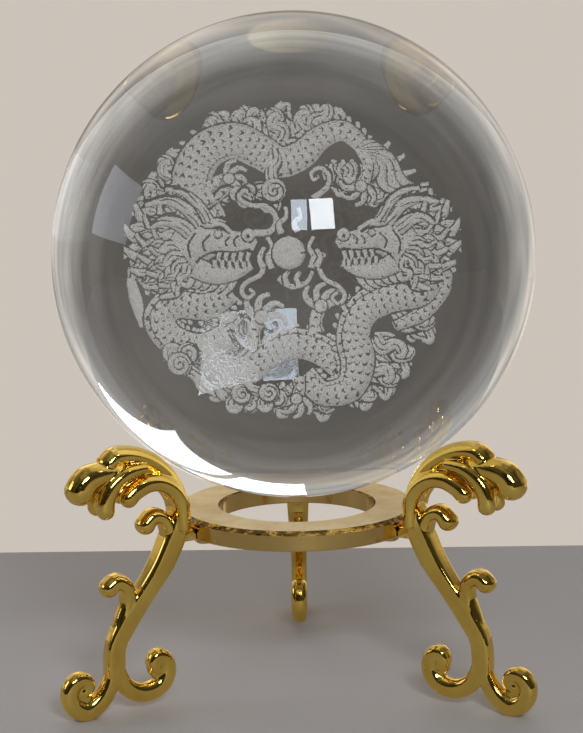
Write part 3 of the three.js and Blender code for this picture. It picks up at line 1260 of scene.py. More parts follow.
@dataclass
class TabScrews:
    """The cross-recessed pan-head screws that hold the legs' tabs."""

    joint: RingSizes
    azimuths: dict[str, float]
    head_radius: float = 1.9 * MM
    head_height: float = 1.3 * MM
    head_edge: float = 0.7 * MM
    recess_width: float = 0.6 * MM
    recess_span: float = 2.2 * MM
    recess_depth: float = 0.7 * MM
    thread_pitch: float = 0.4 * MM
    thread_depth: float = 0.16 * MM
    rim_ease: float = 0.08 * MM
    tip_ease: float = 0.25 * MM
    steps: int = 64
    sharp_past: float = 35.0

    def profile(self) -> list[Point]:
        """Works out the screw's outline from the axis under its head to the axis at its tip.

        Returns:
            The outline's points, out and up, in metres.
        """
        joint = self.joint
        head_top = joint.bottom - joint.fit_gap
        bottom = head_top - self.head_height
        points = [(0.0, bottom)]
        for degrees in (25, 50, 75):
            turn = math.radians(degrees)
            points.append((self.head_radius * math.sin(turn),
                           bottom + (self.head_height - self.head_edge) * (1 - math.cos(turn))))
        points += [(self.head_radius, head_top - self.head_edge),
                   (self.head_radius, head_top - self.rim_ease),
                   (self.head_radius - self.rim_ease, head_top), (joint.shank_radius, head_top)]
        height = joint.lap_top
        while height + self.thread_pitch < joint.shank_top - 0.3 * MM:
            points += [(joint.shank_radius, height),
                       (joint.shank_radius - self.thread_depth, height + self.thread_pitch / 2)]
            height += self.thread_pitch
        return [*points, (joint.shank_radius, joint.shank_top - self.tip_ease),
                (joint.shank_radius - self.tip_ease, joint.shank_top), (0.0, joint.shank_top)]

    def build(self, finish: GoldFinish, effects: SurfaceEffects) -> list[Piece]:
        """Spins a screw, cuts its recess and copies it to each leg.

        Args:
            finish: The screws' plating.
            effects: The shared node groups.

        Returns:
            The three screws.
        """
        outline = self.profile()
        pattern = new_piece("screw", bpy.ops.mesh.primitive_circle_add, vertices=len(outline), radius=1 * MM)
        for vertex, (out, up) in zip(pattern.data.vertices, outline):
            vertex.co = (out, 0, up)
        with editing(pattern):
            mesh = bmesh.from_edit_mesh(pattern.data)
            axis = [edge for edge in mesh.edges if all(v.co.x < 1e-9 for v in edge.verts)]
            bmesh.ops.delete(mesh, geom=axis, context="EDGES")
            bmesh.update_edit_mesh(pattern.data)
            spin_round(self.steps, 0.005 * MM)
        self.cut_recess(pattern)
        pattern.location = (self.joint.screw_radius, 0, 0)
        settle(pattern)
        material = finish.material(effects)
        screws = []
        for name, azimuth in self.azimuths.items():
            screw = turned_copy(pattern, f"tab_screw_{name}", azimuth)
            shade(screw, self.sharp_past)
            dress(screw, material, Body.STAND, f"screw_{name}")
            screws.append(screw)
        bpy.data.objects.remove(pattern)
        return screws

    def cut_recess(self, screw: Piece) -> None:
        """Cuts the cross into the screw's head.

        Args:
            screw: The screw, on the upright axis.
        """
        bottom = self.joint.bottom - self.joint.fit_gap - self.head_height
        reach, slot = self.recess_span / 2, self.recess_width / 2
        for x, y in ((reach, slot), (slot, reach)):
            low, high = (-x, -y, bottom - 1 * MM), (x, y, bottom + self.recess_depth)
            cut_away(screw, box_between("recess", low, high))


# ---------------------------------------------------------------- engraving

# A stroke's row is its place across and up from the roundel's middle, and its half width, in millimetres.
Row = tuple[float, float, float]


@dataclass(frozen=True)
class Placing:
    """Where a drawn part goes: moved, turned, sized, and mirrored left to right if asked."""

    across: float = 0.0
    up: float = 0.0
    scale: float = 1.0
    turn: float = 0.0
    mirrored: bool = False

    def put(self, rows: Sequence[Row]) -> list[Row]:
        """Moves a stroke's rows from the part's own place to the roundel's.

        Args:
            rows: The rows in the part's own place.

        Returns:
            The rows in the roundel's.
        """
        cosine, sine = math.cos(math.radians(self.turn)), math.sin(math.radians(self.turn))
        side = -1 if self.mirrored else 1
        moved = []
        for x, z, half in rows:
            right, rise = x * cosine - z * sine, x * sine + z * cosine
            place = (self.across + side * self.scale * right, self.up + self.scale * rise)
            moved.append((*place, half * self.scale))
        return moved


@dataclass
class ReliefGrid:
    """The engraving as fine cells, painted stroke over stroke, as a laser's point plan is."""

    reach: float = 23.6
    cell: float = 0.115
    halo: float = 0.21
    seed: int = 11

    def __post_init__(self) -> None:
        """Makes the empty cells."""
        count = int(2 * self.reach / self.cell)
        self.filled = np.zeros((count, count), bool)
        self.depth = np.zeros((count, count))
        # painted shading of each cell's relief, worked out by lit() for a light from the upper left front
        self.tone = np.zeros((count, count))
        self.random = np.random.default_rng(self.seed)

    def paint(self, rows: Sequence[Row], pattern: Pattern = Pattern.PLAIN, lift: float = 0.0,
              bulge: float = 0.8) -> None:
        """Paints a stroke over what is there, with a clear line round it.

        Args:
            rows: The stroke's points with their half widths.
            pattern: How its marks are spread.
            lift: How far it stands towards the front, in millimetres.
            bulge: How round its relief is, beside its half width.
        """
        points = np.array(rows, float)
        length = np.linalg.norm(np.diff(points[:, :2], axis=0), axis=1).sum()
        steps = max(int(length / (0.45 * self.cell)), 4)
        line = np.array([along(points, step / steps) for step in range(steps + 1)])
        half = np.maximum(line[:, 2], 0.05)
        gone = np.gradient(line[:, :2], axis=0)
        gone /= np.maximum(np.linalg.norm(gone, axis=1), 1e-9)[:, None]
        reach = np.concatenate([[0], np.cumsum(np.linalg.norm(np.diff(line[:, :2], axis=0), axis=1))])
        wide = half + (0.0 if pattern is Pattern.CLEAR else self.halo)
        count = max(int(2 * wide.max() / (0.45 * self.cell)), 3)
        across = np.linspace(-1, 1, count)[None, :] * wide[:, None]
        x = line[:, 0, None] - gone[:, 1, None] * across
        z = line[:, 1, None] + gone[:, 0, None] * across
        column = np.rint((x + self.reach) / self.cell).astype(int)
        row = np.rint((z + self.reach) / self.cell).astype(int)
        good = (column >= 0) & (row >= 0) & (column < len(self.filled)) & (row < len(self.filled))
        self.filled[row[good], column[good]] = False
        share = across / half[:, None]
        inside = good & (np.abs(share) <= 1)
        along_it = np.broadcast_to(reach[:, None], share.shape)
        kept = inside & self.chance(pattern, along_it, share, across)
        body = np.sqrt(np.clip(1 - share ** 2, 0, 1))
        light = self.lit(gone, share, body)
        self.filled[row[inside], column[inside]] = False
        self.filled[row[kept], column[kept]] = True
        self.depth[row[kept], column[kept]] = (lift + bulge * half[:, None] * body)[kept]
        self.tone[row[kept], column[kept]] = light[kept]

    @staticmethod
    def lit(gone: np.ndarray, share: np.ndarray, body: np.ndarray) -> np.ndarray:
        """Works out how bright the rounded relief is under light from the upper left front.

        Args:
            gone: The stroke's direction at each step.
            share: The place across it, from -1 to 1.
            body: How far the relief stands out there, from 0 to 1.

        Returns:
            The brightness.
        """
        light = np.array([-0.3, 0.62, 0.72])
        leaning = -gone[:, 1, None] * share * light[0] + gone[:, 0, None] * share * light[1] + body * light[2]
        return np.clip(0.82 + 0.2 * leaning, 0.7, 1.0)

    def chance(self, pattern: Pattern, gone: np.ndarray, share: np.ndarray, across: np.ndarray) -> np.ndarray:
        """Chooses which places of a stroke are marked.

        Args:
            pattern: How its marks are spread.
            gone: The distance along the stroke, in millimetres.
            share: The place across it, from -1 to 1.
            across: The place across it, in millimetres.

        Returns:
            True where there is a mark.
        """
        draw = self.random.random(share.shape)
        if pattern is Pattern.CLEAR:
            return draw < 0
        if pattern is Pattern.GRAINY:
            return draw < 0.86
        if pattern is Pattern.PLAIN:
            nick = np.sin(gone * 2.6 + 1.7 * across) * np.sin(3.9 * across - 0.9 * gone) > 0.86
            return (draw < 0.97) & ~nick
        if pattern is Pattern.HAIR:
            comb = np.mod(across / 0.68 + 0.2 * np.sin(gone * 1.4) + 0.5, 1.0)
            return (draw < 0.97) & ((comb > 0.42) | (np.sin(gone * 1.1 + across * 7) > 0.6))
        pitch, width = 1.1, 1.05
        number = np.floor(gone / pitch)
        row = np.mod(across / width + 0.5 * np.mod(number, 2), 1.0) - 0.5
        place = gone / pitch - number
        edge = 0.16 + 0.66 * (1 - (2 * np.abs(row)) ** 2)
        slit = (np.abs(place - edge) < 0.18) & (np.abs(row) < 0.37)
        belly = share < -0.7
        plate = np.mod(gone / 0.95, 1.0) < 0.3
        groove = np.abs(share + 0.7) * np.max(np.abs(across)) < 0.14
        marked = (~belly & ~slit) | (belly & ~plate) | (np.abs(share) > 0.93)
        return (draw < 0.975) & marked & ~groove

    def marks(self) -> tuple[np.ndarray, np.ndarray]:
        """Turns the filled cells into marks.

        Returns:
            The marks' places, across, towards the back and up in millimetres, and their tones: the painted
            shading of the relief.
        """
        row, column = np.nonzero(self.filled)
        jitter = self.random.normal(0, 1, (len(row), 3))
        places = np.stack([column * self.cell - self.reach, -self.depth[row, column],
                           row * self.cell - self.reach], axis=1)
        places += jitter * np.array([0.22 * self.cell, 0.09, 0.22 * self.cell])
        tones = self.tone[row, column] * (1 + 0.05 * jitter[:, 0])
        return places, np.clip(tones, 0, 1)


@dataclass
class RoundelDesign:
    """Two scaled dragons, a pearl, flames and clouds in a round field."""

    grid: ReliefGrid = field(default_factory=ReliefGrid)

    def draw(self) -> ReliefGrid:
        """Paints everything in order, from what lies behind to what stands in front.

        Returns:
            The painted cells.
        """
        self.back_flames()
        self.bodies()
        self.tail()
        self.claws()
        self.clouds()
        for mirrored, across, size, turn in ((False, -5.3, 1.06, -3.0), (True, 6.2, 1.0, -4.0)):
            self.head(Placing(across, 1.5, size, turn, mirrored))
        self.whiskers()
        self.pearl()
        return self.grid

    def taper(self, points: Sequence[Point], half: float, pattern: Pattern = Pattern.PLAIN,
              lift: float = 0.0, placing: Placing = Placing()) -> None:
        """Paints a stroke that thins out to a point.

        Args:
            points: Its points.
            half: Its half width at the root.
            pattern: How its marks are spread.
            lift: How far it stands towards the front.
            placing: Where the points go.
        """
        last = len(points) - 1
        rows = [(x, z, max(half * (1 - (number / last) ** 2.2), 0.2)) for number, (x, z) in enumerate(points)]
        self.grid.paint(placing.put(rows), pattern, lift)

    def disc(self, x: float, z: float, radius: float, pattern: Pattern = Pattern.PLAIN, lift: float = 0.0,
             placing: Placing = Placing()) -> None:
        """Paints a round boss as rings of strokes, from its rim inwards.

        Args:
            x: Its middle, across.
            z: Its middle, up.
            radius: Its radius.
            pattern: How its marks are spread.
            lift: How far it stands towards the front.
            placing: Where the points go.
        """
        turns = [(x + radius * 0.5 * math.cos(angle), z + radius * 0.5 * math.sin(angle), radius * 0.5)
                 for angle in np.linspace(0, math.tau, 13)]
        self.grid.paint(placing.put(turns), pattern, lift, 0.2)

    def spiral(self, placing: Placing, radius: float, turns: float, half: float, lift: float = 0.4) -> None:
        """Paints a curl that winds in to its middle.

        Args:
            placing: Where it goes.
            radius: Its outer radius.
            turns: How often it winds round.
            half: Its half width at the outer end.
            lift: How far it stands towards the front.
        """
        count = int(9 * turns) + 3
        rows = []
        for number in range(count):
            share = number / (count - 1)
            angle, out = math.tau * turns * share, radius * (1 - 0.85 * share)
            rows.append((out * math.cos(angle), out * math.sin(angle), half * (1 - 0.55 * share)))
        self.grid.paint(placing.put(rows), Pattern.PLAIN, lift)

    def flame(self, placing: Placing, tongues: int = 3, length: float = 5.0, half: float = 0.9) -> None:
        """Paints a root with wavy tongues that fan out from it.

        Args:
            placing: Where it goes.
            tongues: How many tongues.
            length: The longest tongue's length.
            half: A tongue's half width at its root.
        """
        for number in range(tongues):
            lean = (number - (tongues - 1) / 2) * 26 / max(tongues - 1, 1) * 1.6
            reach = length * (1 - 0.16 * abs(number - (tongues - 1) / 2))
            tongue = Placing(placing.across, placing.up, placing.scale, placing.turn + lean, placing.mirrored)
            wave = 0.15 * reach * (1 if number % 2 else -1)
            self.taper([(0, 0), (reach * 0.3, wave), (reach * 0.62, -wave * 0.5), (reach * 0.86, wave * 0.2),
                        (reach * 0.9, wave * 1.3), (reach * 0.74, wave * 1.5)],
                       half, Pattern.HAIR if half > 0.8 else Pattern.PLAIN, 0.0, tongue)

    def claw(self, placing: Placing, toes: int = 4) -> None:
        """Paints a foot: a shank, a palm and hooked toes.

        Args:
            placing: Where it goes.
            toes: How many toes.
        """
        shank = [(-3.4, -0.6, 1.0), (-1.6, 0.1, 0.85), (0.2, 0.0, 1.0)]
        self.grid.paint(placing.put(shank), Pattern.SCALES, 0.3)
        for number in range(toes):
            turn = placing.turn + 62 - 124 * number / (toes - 1)
            toe = Placing(placing.across, placing.up, placing.scale, turn, placing.mirrored)
            self.taper([(0.4, 0), (1.7, 0.5), (2.9, 0.3), (3.5, -0.8)], 0.52, Pattern.PLAIN, 0.5, toe)
        self.disc(0.3, 0, 0.85, Pattern.PLAIN, 0.6, placing)

    def cloud(self, placing: Placing) -> None:
        """Paints a curled cloud with a trailing tail.

        Args:
            placing: Where it goes.
        """
        self.taper([(0.6, -0.9), (2.4, -2.2), (3.0, -3.8), (4.6, -4.6)], 0.8, Pattern.HAIR, 0.0, placing)
        for x, z, radius, start in ((-1.1, 0.9, 1.25, 40), (1.2, 1.0, 1.2, 200), (0, -0.6, 1.4, 120)):
            self.disc(x, z, radius * 1.12, Pattern.GRAINY, 0.0, placing)
            (cx, cz, scale), = placing.put([(x, z, 1.0)])
            self.spiral(Placing(cx, cz, scale, start, placing.mirrored), radius, 1.6, 0.32)

    def fins(self, rows: Sequence[Row], side: int, count: int, size: float) -> None:
        """Paints a crest of small leaning spines along one side of a body.

        Args:
            rows: The body's rows.
            side: 1 for the left of its direction, -1 for the right.
            count: How many spines.
            size: Their length, in millimetres.
        """
        points = np.array(rows, float)
        for number in range(count):
            share = (number + 0.5) / count
            here = along(points, share)
            gone = along(points, share + 0.01)[:2] - along(points, share - 0.01)[:2]
            ahead = gone / np.linalg.norm(gone)
            out = np.array([-ahead[1], ahead[0]]) * side
            root = here[:2] + out * here[2] * 0.7
            tip = here[:2] + out * (here[2] + size) - ahead * size * 0.8
            middle = (root + tip) / 2 + out * size * 0.25
            self.taper([tuple(root), tuple(middle), tuple(tip)], 0.34 * size + 0.12)

    def back_flames(self) -> None:
        """Paints the flames, locks and feathers at the roundel's edge."""
        for across, up, turn, tongues, length in (
                (-19.6, 5.2, 118, 5, 3.6), (-18.2, 7.2, 108, 5, 5.0), (-16.8, 10.0, 92, 5, 5.4),
                (-11.4, 16.6, 66, 5, 4.4), (-8.2, 17.6, 48, 5, 4.6), (-3.6, 17.0, 118, 4, 4.6),
                (-1.4, 16.4, 92, 5, 5.4), (1.0, 16.8, 58, 5, 5.4), (3.0, 17.6, 30, 4, 5.6),
                (14.2, -8.2, -30, 5, 6.4), (11.0, -11.6, -42, 5, 7.0), (10.2, -14.6, -56, 5, 6.0),
                (8.4, -17.6, -70, 4, 4.2), (-12.4, -11.6, -140, 4, 5.0), (-9.6, -16.6, -118, 4, 3.8),
                (2.4, -18.6, -62, 5, 4.4), (-1.2, -18.0, -100, 4, 4.6), (16.6, 4.6, 34, 5, 5.6),
                (18.4, 2.0, 8, 5, 4.2), (5.2, 12.4, -62, 5, 4.6), (7.6, 12.6, -96, 4, 3.8),
                (-10.8, -7.8, -30, 4, 3.6), (12.4, 9.0, -150, 4, 3.4), (-11.4, 9.6, -20, 4, 4.0)):
            self.flame(Placing(across, up, 1.0, turn), tongues, length)
        self.grid.paint([(-22.6, -1.4, 0.25), (-22.3, -4.0, 0.7), (-21.6, -6.6, 0.8), (-21.0, -9.6, 0.2)],
                        Pattern.GRAINY)

    def bodies(self) -> None:
        """Paints the two long scaled bodies, with their crests."""
        left_loop = [(-14.0, 4.6, 1.7), (-18.2, 4.0, 2.0), (-20.6, 1.6, 2.2), (-19.4, -2.0, 2.4),
                     (-15.4, -3.9, 2.3), (-10.6, -4.4, 1.9)]
        lower_left = [(-8.6, -4.6, 1.6), (-12.0, -6.4, 2.1), (-16.2, -6.2, 2.2), (-18.6, -8.4, 2.1),
                      (-16.8, -11.4, 2.0), (-12.6, -12.6, 2.0), (-9.0, -11.0, 1.8)]
        upper = [(-11.4, 4.6, 2.4), (-13.2, 8.0, 2.7), (-13.8, 11.6, 2.8), (-11.8, 15.0, 2.7),
                 (-8.0, 16.2, 2.5), (-4.6, 14.6, 2.3), (-1.6, 13.0, 2.1), (1.4, 14.0, 1.9),
                 (4.0, 16.4, 1.6), (7.0, 17.4, 1.4), (9.4, 15.6, 1.1), (10.6, 13.0, 0.8)]
        thigh = [(-12.6, 8.0, 1.4), (-10.2, 9.4, 1.3), (-8.6, 11.2, 0.9)]
        outer_band = [(19.8, 1.8, 0.7), (20.9, -1.6, 1.0), (20.3, -5.0, 1.2), (17.6, -8.2, 1.0),
                      (14.0, -9.8, 0.6)]
        main = [(19.4, -2.6, 1.5), (17.4, -5.0, 2.1), (12.9, -5.8, 2.2), (9.4, -7.6, 2.2), (8.0, -11.0, 2.2),
                (8.6, -14.8, 2.2), (7.4, -18.2, 1.9), (3.8, -18.9, 1.6), (1.4, -16.4, 1.4)]
        second = [(7.4, -16.6, 1.6), (4.2, -13.4, 1.9), (0.2, -12.0, 2.0), (-3.4, -13.2, 2.0),
                  (-6.4, -15.6, 1.9), (-10.0, -16.2, 1.7), (-12.2, -14.2, 1.4)]
        for rows, side, count, size in ((left_loop, 1, 0, 0.8), (upper, 1, 34, 0.8), (lower_left, 1, 22, 0.7),
                                        (outer_band, 1, 0, 0.6), (second, -1, 22, 0.6), (main, -1, 30, 0.7)):
            self.fins(rows, side, count, size)
            self.grid.paint(rows, Pattern.SCALES, 0.2, 0.7)
        self.grid.paint(thigh, Pattern.SCALES, 0.9)

    def tail(self) -> None:
        """Paints the tail's tuft of wavy strands."""
        root = (9.8, 14.6)
        ends = ((13.7, 15.4), (15.6, 13.4), (17.0, 11.2), (18.6, 9.2), (16.6, 8.4), (14.0, 8.5), (10.8, 9.2))
        for number, end in enumerate(ends):
            start = (root[0] + 0.16 * number, root[1] - 0.3 * number)
            run = (end[0] - start[0], end[1] - start[1])
            side = (-run[1] * 0.14, run[0] * 0.14)
            points = [(start[0] + run[0] * share + side[0] * sway, start[1] + run[1] * share + side[1] * sway)
                      for share, sway in ((0, 0), (0.3, 1), (0.6, -0.4), (0.82, -0.5), (1, 0.5))]
            self.taper(points, 0.72)

    def claws(self) -> None:
        """Paints the dragons' feet."""
        for across, up, size, turn in (
                (-9.0, 10.8, 0.8, 15), (3.6, -7.2, 0.95, 70), (-4.6, -8.6, 1.0, 62),
                (0.2, -19.4, 0.8, -105), (9.6, 9.8, 0.85, -115), (17.8, 6.8, 0.7, 60)):
            self.claw(Placing(across, up, size, turn))

    def clouds(self) -> None:
        """Paints the curled clouds."""
        for across, up, size, turn in (
                (-15.8, -14.2, 1.0, 0), (-7.2, -19.4, 0.9, 180), (-3.0, 8.6, 1.0, 130),
                (-6.6, 8.2, 0.75, 20), (-3.4, -19.2, 0.8, 200), (-19.4, 5.6, 0.7, 90)):
            self.cloud(Placing(across, up, size, turn))

    def head(self, placing: Placing) -> None:
        """Paints one head, looking to the right from its own place, with its snout's tip near the middle.

        Args:
            placing: Where it goes.
        """
        self.mane(placing)
        skull = [(-9.4, -1.2, 2.4), (-7.2, 0.6, 2.9), (-4.6, 0.9, 2.1)]
        jaw = [(-7.8, -3.0, 1.3), (-5.2, -3.9, 1.15), (-2.6, -3.6, 0.9), (-0.4, -2.5, 0.5)]
        snout = [(-5.6, 0.9, 1.8), (-3.0, 0.4, 1.5), (-1.2, 0.6, 1.2), (0.0, 0.1, 0.6)]
        for rows, lift, bulge in ((skull, 1.2, 0.5), (jaw, 1.3, 0.8), (snout, 1.6, 0.6)):
            self.grid.paint(placing.put(rows), Pattern.PLAIN, lift, bulge)
        self.disc(-0.9, 1.5, 0.8, Pattern.PLAIN, 2.0, placing)
        for number in range(5):
            x = -0.7 - 0.95 * number
            self.taper([(x, -0.9), (x - 0.15, -1.6), (x - 0.1, -2.1)], 0.24, Pattern.PLAIN, 1.4, placing)
            self.taper([(x - 0.5, -2.9), (x - 0.6, -2.4), (x - 0.6, -2.0)], 0.22, Pattern.PLAIN, 1.4, placing)
        brow = [(-3.2, 2.0, 0.3), (-4.6, 2.9, 0.5), (-6.6, 3.0, 0.6), (-8.6, 4.0, 0.15)]
        self.grid.paint(placing.put(brow), Pattern.HAIR, 2.0)
        for points, half in (([(-7.2, 2.8), (-9.4, 4.8), (-12.0, 5.6), (-14.8, 5.0)], 0.8),
                             ([(-6.2, 3.2), (-7.8, 5.4), (-9.8, 6.8), (-12.2, 7.2)], 0.6),
                             ([(-8.6, 1.6), (-10.6, 2.8), (-12.4, 2.9), (-13.8, 2.0)], 0.85)):
            self.taper(points, half, Pattern.HAIR, 1.8, placing)
        self.grid.paint(placing.put([(-5.0, 1.5, 0.62), (-4.9, 1.5, 0.62)]), Pattern.CLEAR)
        self.disc(-4.9, 1.5, 0.4, Pattern.PLAIN, 2.1, placing)
        mouth = [(-0.6, -0.4, 0.1), (-2.6, -0.8, 0.1), (-4.8, -0.8, 0.1), (-6.6, -1.4, 0.1),
                 (-7.6, -2.4, 0.1)]
        for rows in (mouth,
                     [(-6.0, 1.4, 0.09), (-6.9, 0.3, 0.1), (-6.5, -0.8, 0.09)],
                     [(-7.9, 1.6, 0.09), (-8.8, 0.0, 0.1), (-8.4, -1.8, 0.09)],
                     [(-2.2, 1.4, 0.08), (-2.8, 0.8, 0.1), (-2.6, 0.1, 0.08)],
                     [(-3.4, 1.2, 0.08), (-3.9, 0.6, 0.09), (-3.7, 0.0, 0.08)],
                     [(-1.1, 1.3, 0.2), (-0.8, 1.4, 0.2)]):
            self.grid.paint(placing.put(rows), Pattern.CLEAR)

    def mane(self, placing: Placing) -> None:
        """Paints a head's mane, cheek spikes and beard.

        Args:
            placing: Where the head goes.
        """
        for layer, (count, reach, half) in enumerate(((15, 8.2, 1.15), (14, 6.2, 1.0), (12, 4.2, 0.8))):
            for number in range(count):
                share = number / (count - 1)
                angle = math.radians(122 + 120 * share)
                length = reach * (1 - 0.28 * abs(2 * share - 0.8))
                cosine, sine = math.cos(angle), math.sin(angle)
                root = (-7.4 + 2.4 * cosine, -0.6 + 2.6 * sine)
                bend = 0.16 * length * (1 if number % 2 else -1)
                points = [(root[0] + length * part * cosine - bend * sway * sine,
                           root[1] + length * part * sine + bend * sway * cosine)
                          for part, sway in ((0, 0), (0.35, 1), (0.7, -0.2), (1.0, 1.2))]
                self.taper(points, half, Pattern.HAIR, 0.5 + 0.3 * layer, placing)
        for number in range(6):
            x = -2.4 - 1.1 * number
            beard = [(x, -4.2), (x - 0.4, -5.4), (x - 1.3, -6.4 + 0.2 * number)]
            self.taper(beard, 0.42, Pattern.PLAIN, 0.9, placing)

    def whiskers(self) -> None:
        """Paints the long whiskers, with their curled tips."""
        for half, points in (
                (0.34, [(4.2, 0.4), (3.5, -1.2), (4.3, -3.1), (6.2, -4.2), (7.0, -5.6), (6.2, -6.6),
                        (5.3, -5.8), (6.0, -5.0)]),
                (0.34, [(-4.2, 0.4), (-4.4, -2.2), (-6.4, -3.4), (-7.2, -4.6), (-6.4, -5.6), (-5.5, -5.0),
                        (-6.1, -4.4)]),
                (0.4, [(-5.3, 3.4), (-3.1, 3.6), (-2.3, 5.4), (-3.6, 7.0), (-6.0, 7.3), (-7.4, 8.4),
                       (-6.6, 9.4), (-5.9, 8.6)]),
                (0.32, [(2.9, 8.2), (4.8, 9.6), (5.1, 11.4), (3.9, 12.4), (2.7, 11.7), (3.0, 10.7),
                        (3.7, 11.2)])):
            last = len(points) - 1
            rows = [(x, z, half * (1 - 0.6 * number / last)) for number, (x, z) in enumerate(points)]
            self.grid.paint(rows, Pattern.PLAIN, 1.6)

    def pearl(self) -> None:
        """Paints the pearl between the dragons, with its flames."""
        for points in ([(-3.0, -1.6), (-3.4, -0.2), (-2.9, 1.2), (-3.5, 2.6)],
                       [(-4.2, -1.4), (-4.6, -0.2), (-4.0, 1.2)],
                       [(2.4, -1.6), (2.8, -0.2), (2.2, 1.2), (2.8, 2.6)],
                       [(3.2, -1.4), (3.7, -0.2), (3.2, 0.8)],
                       [(-2.0, -3.0), (-0.2, -4.2), (1.8, -3.6), (2.6, -2.2)],
                       [(-0.9, -3.9), (-1.2, -2.9), (-0.7, -2.2)],
                       [(0.7, -4.0), (0.4, -3.0), (0.9, -2.3)],
                       [(-1.6, 3.2), (-1.9, 4.4), (-0.9, 5.4), (-1.0, 6.8)],
                       [(0.6, 3.4), (0.2, 4.6), (1.1, 5.4), (0.8, 6.6)]):
            self.taper(points, 0.36, Pattern.PLAIN, 0.6)
        self.disc(-0.6, 0.5, 2.2, Pattern.GRAINY, 1.4)


@dataclass
class EngravedRoundel:
    """The roundel of tiny fractures inside the glass, facing the front."""

    centre: Vector
    limit: float
    design: RoundelDesign = field(default_factory=RoundelDesign)
    mark_radius: float = 0.088 * MM
    most_marks: int = 22000
    name: str = "engraving"

    def build(self, finish: EngravingFinish, effects: SurfaceEffects) -> list[Piece]:
        """Sets every mark of the design in the glass, in a few pieces from left to right.

        Args:
            finish: The marks' white.
            effects: The shared node groups.

        Returns:
            The pieces.
        """
        places, tones = self.design.draw().marks()
        inside = np.linalg.norm(places, axis=1) * MM < self.limit
        places, tones = places[inside], tones[inside]
        order = np.argsort(places[:, 0])
        material = finish.material(effects)
        pieces = []
        for number, part in enumerate(np.array_split(order, math.ceil(len(order) / self.most_marks))):
            piece = self.cluster(f"{self.name}_{number + 1}", places[part] * MM, tones[part], finish.layer)
            dress(piece, material, Body.BALL)
            pieces.append(piece)
        return pieces

    def cluster(self, name: str, places: np.ndarray, tones: np.ndarray, layer: str) -> Piece:
        """Copies one eight-sided mark to every place, straight into a mesh, because there are so many.

        Args:
            name: The new object's name.
            places: The marks' places from the ball's middle, in metres.
            tones: The marks' brightness, which is painted shading of the relief.
            layer: The name of the colour layer that keeps this painted shading.

        Returns:
            The piece.
        """
        reach = self.mark_radius
        pattern = new_piece("mark", bpy.ops.mesh.primitive_cone_add, vertices=4, radius1=reach, depth=reach,
                            end_fill_type="NOTHING", location=(0, 0, reach / 2))
        settle(pattern)
        apply_modifier(pattern, "MIRROR", use_axis=(False, False, True), merge_threshold=reach / 100)
        corners = np.array([vertex.co for vertex in pattern.data.vertices])
        faces = np.array([face.vertices for face in pattern.data.polygons])
        bpy.data.objects.remove(pattern)
        count, size = len(places), len(corners)
        vertices = (places[:, None, :] + corners[None] + np.array(self.centre)).reshape(-1, 3)
        loops = (faces[None] + size * np.arange(count)[:, None, None]).reshape(-1)
        mesh = bpy.data.meshes.new(name)
        mesh.vertices.add(len(vertices))
        mesh.vertices.foreach_set("co", vertices.astype(np.float32).ravel())
        mesh.loops.add(len(loops))
        mesh.loops.foreach_set("vertex_index", loops.astype(np.int32))
        mesh.polygons.add(len(loops) // 3)
        mesh.polygons.foreach_set("loop_start", np.arange(0, len(loops), 3, dtype=np.int32))
        mesh.update(calc_edges=True)
        # the colour layer holds the painted shading of the relief
        colours = np.repeat(tones, size)[:, None] * np.ones((1, 4))
        colours[:, 3] = 1
        mesh.color_attributes.new(layer, "FLOAT_COLOR", "POINT").data.foreach_set("color", colours.ravel())
        piece = bpy.data.objects.new(name, mesh)
        bpy.context.collection.objects.link(piece)
        return piece


# ---------------------------------------------------------------- studio


@dataclass(frozen=True)
class Panel:
    """A soft light panel, with its distance and size in metres.

    Its bearing is 0 in front and 90 to the right; the bearing and the rise are in degrees.
    """

    name: str
    azimuth: float
    elevation: float
    distance: float
    size: Point
    radiance: float
    colour: Colour


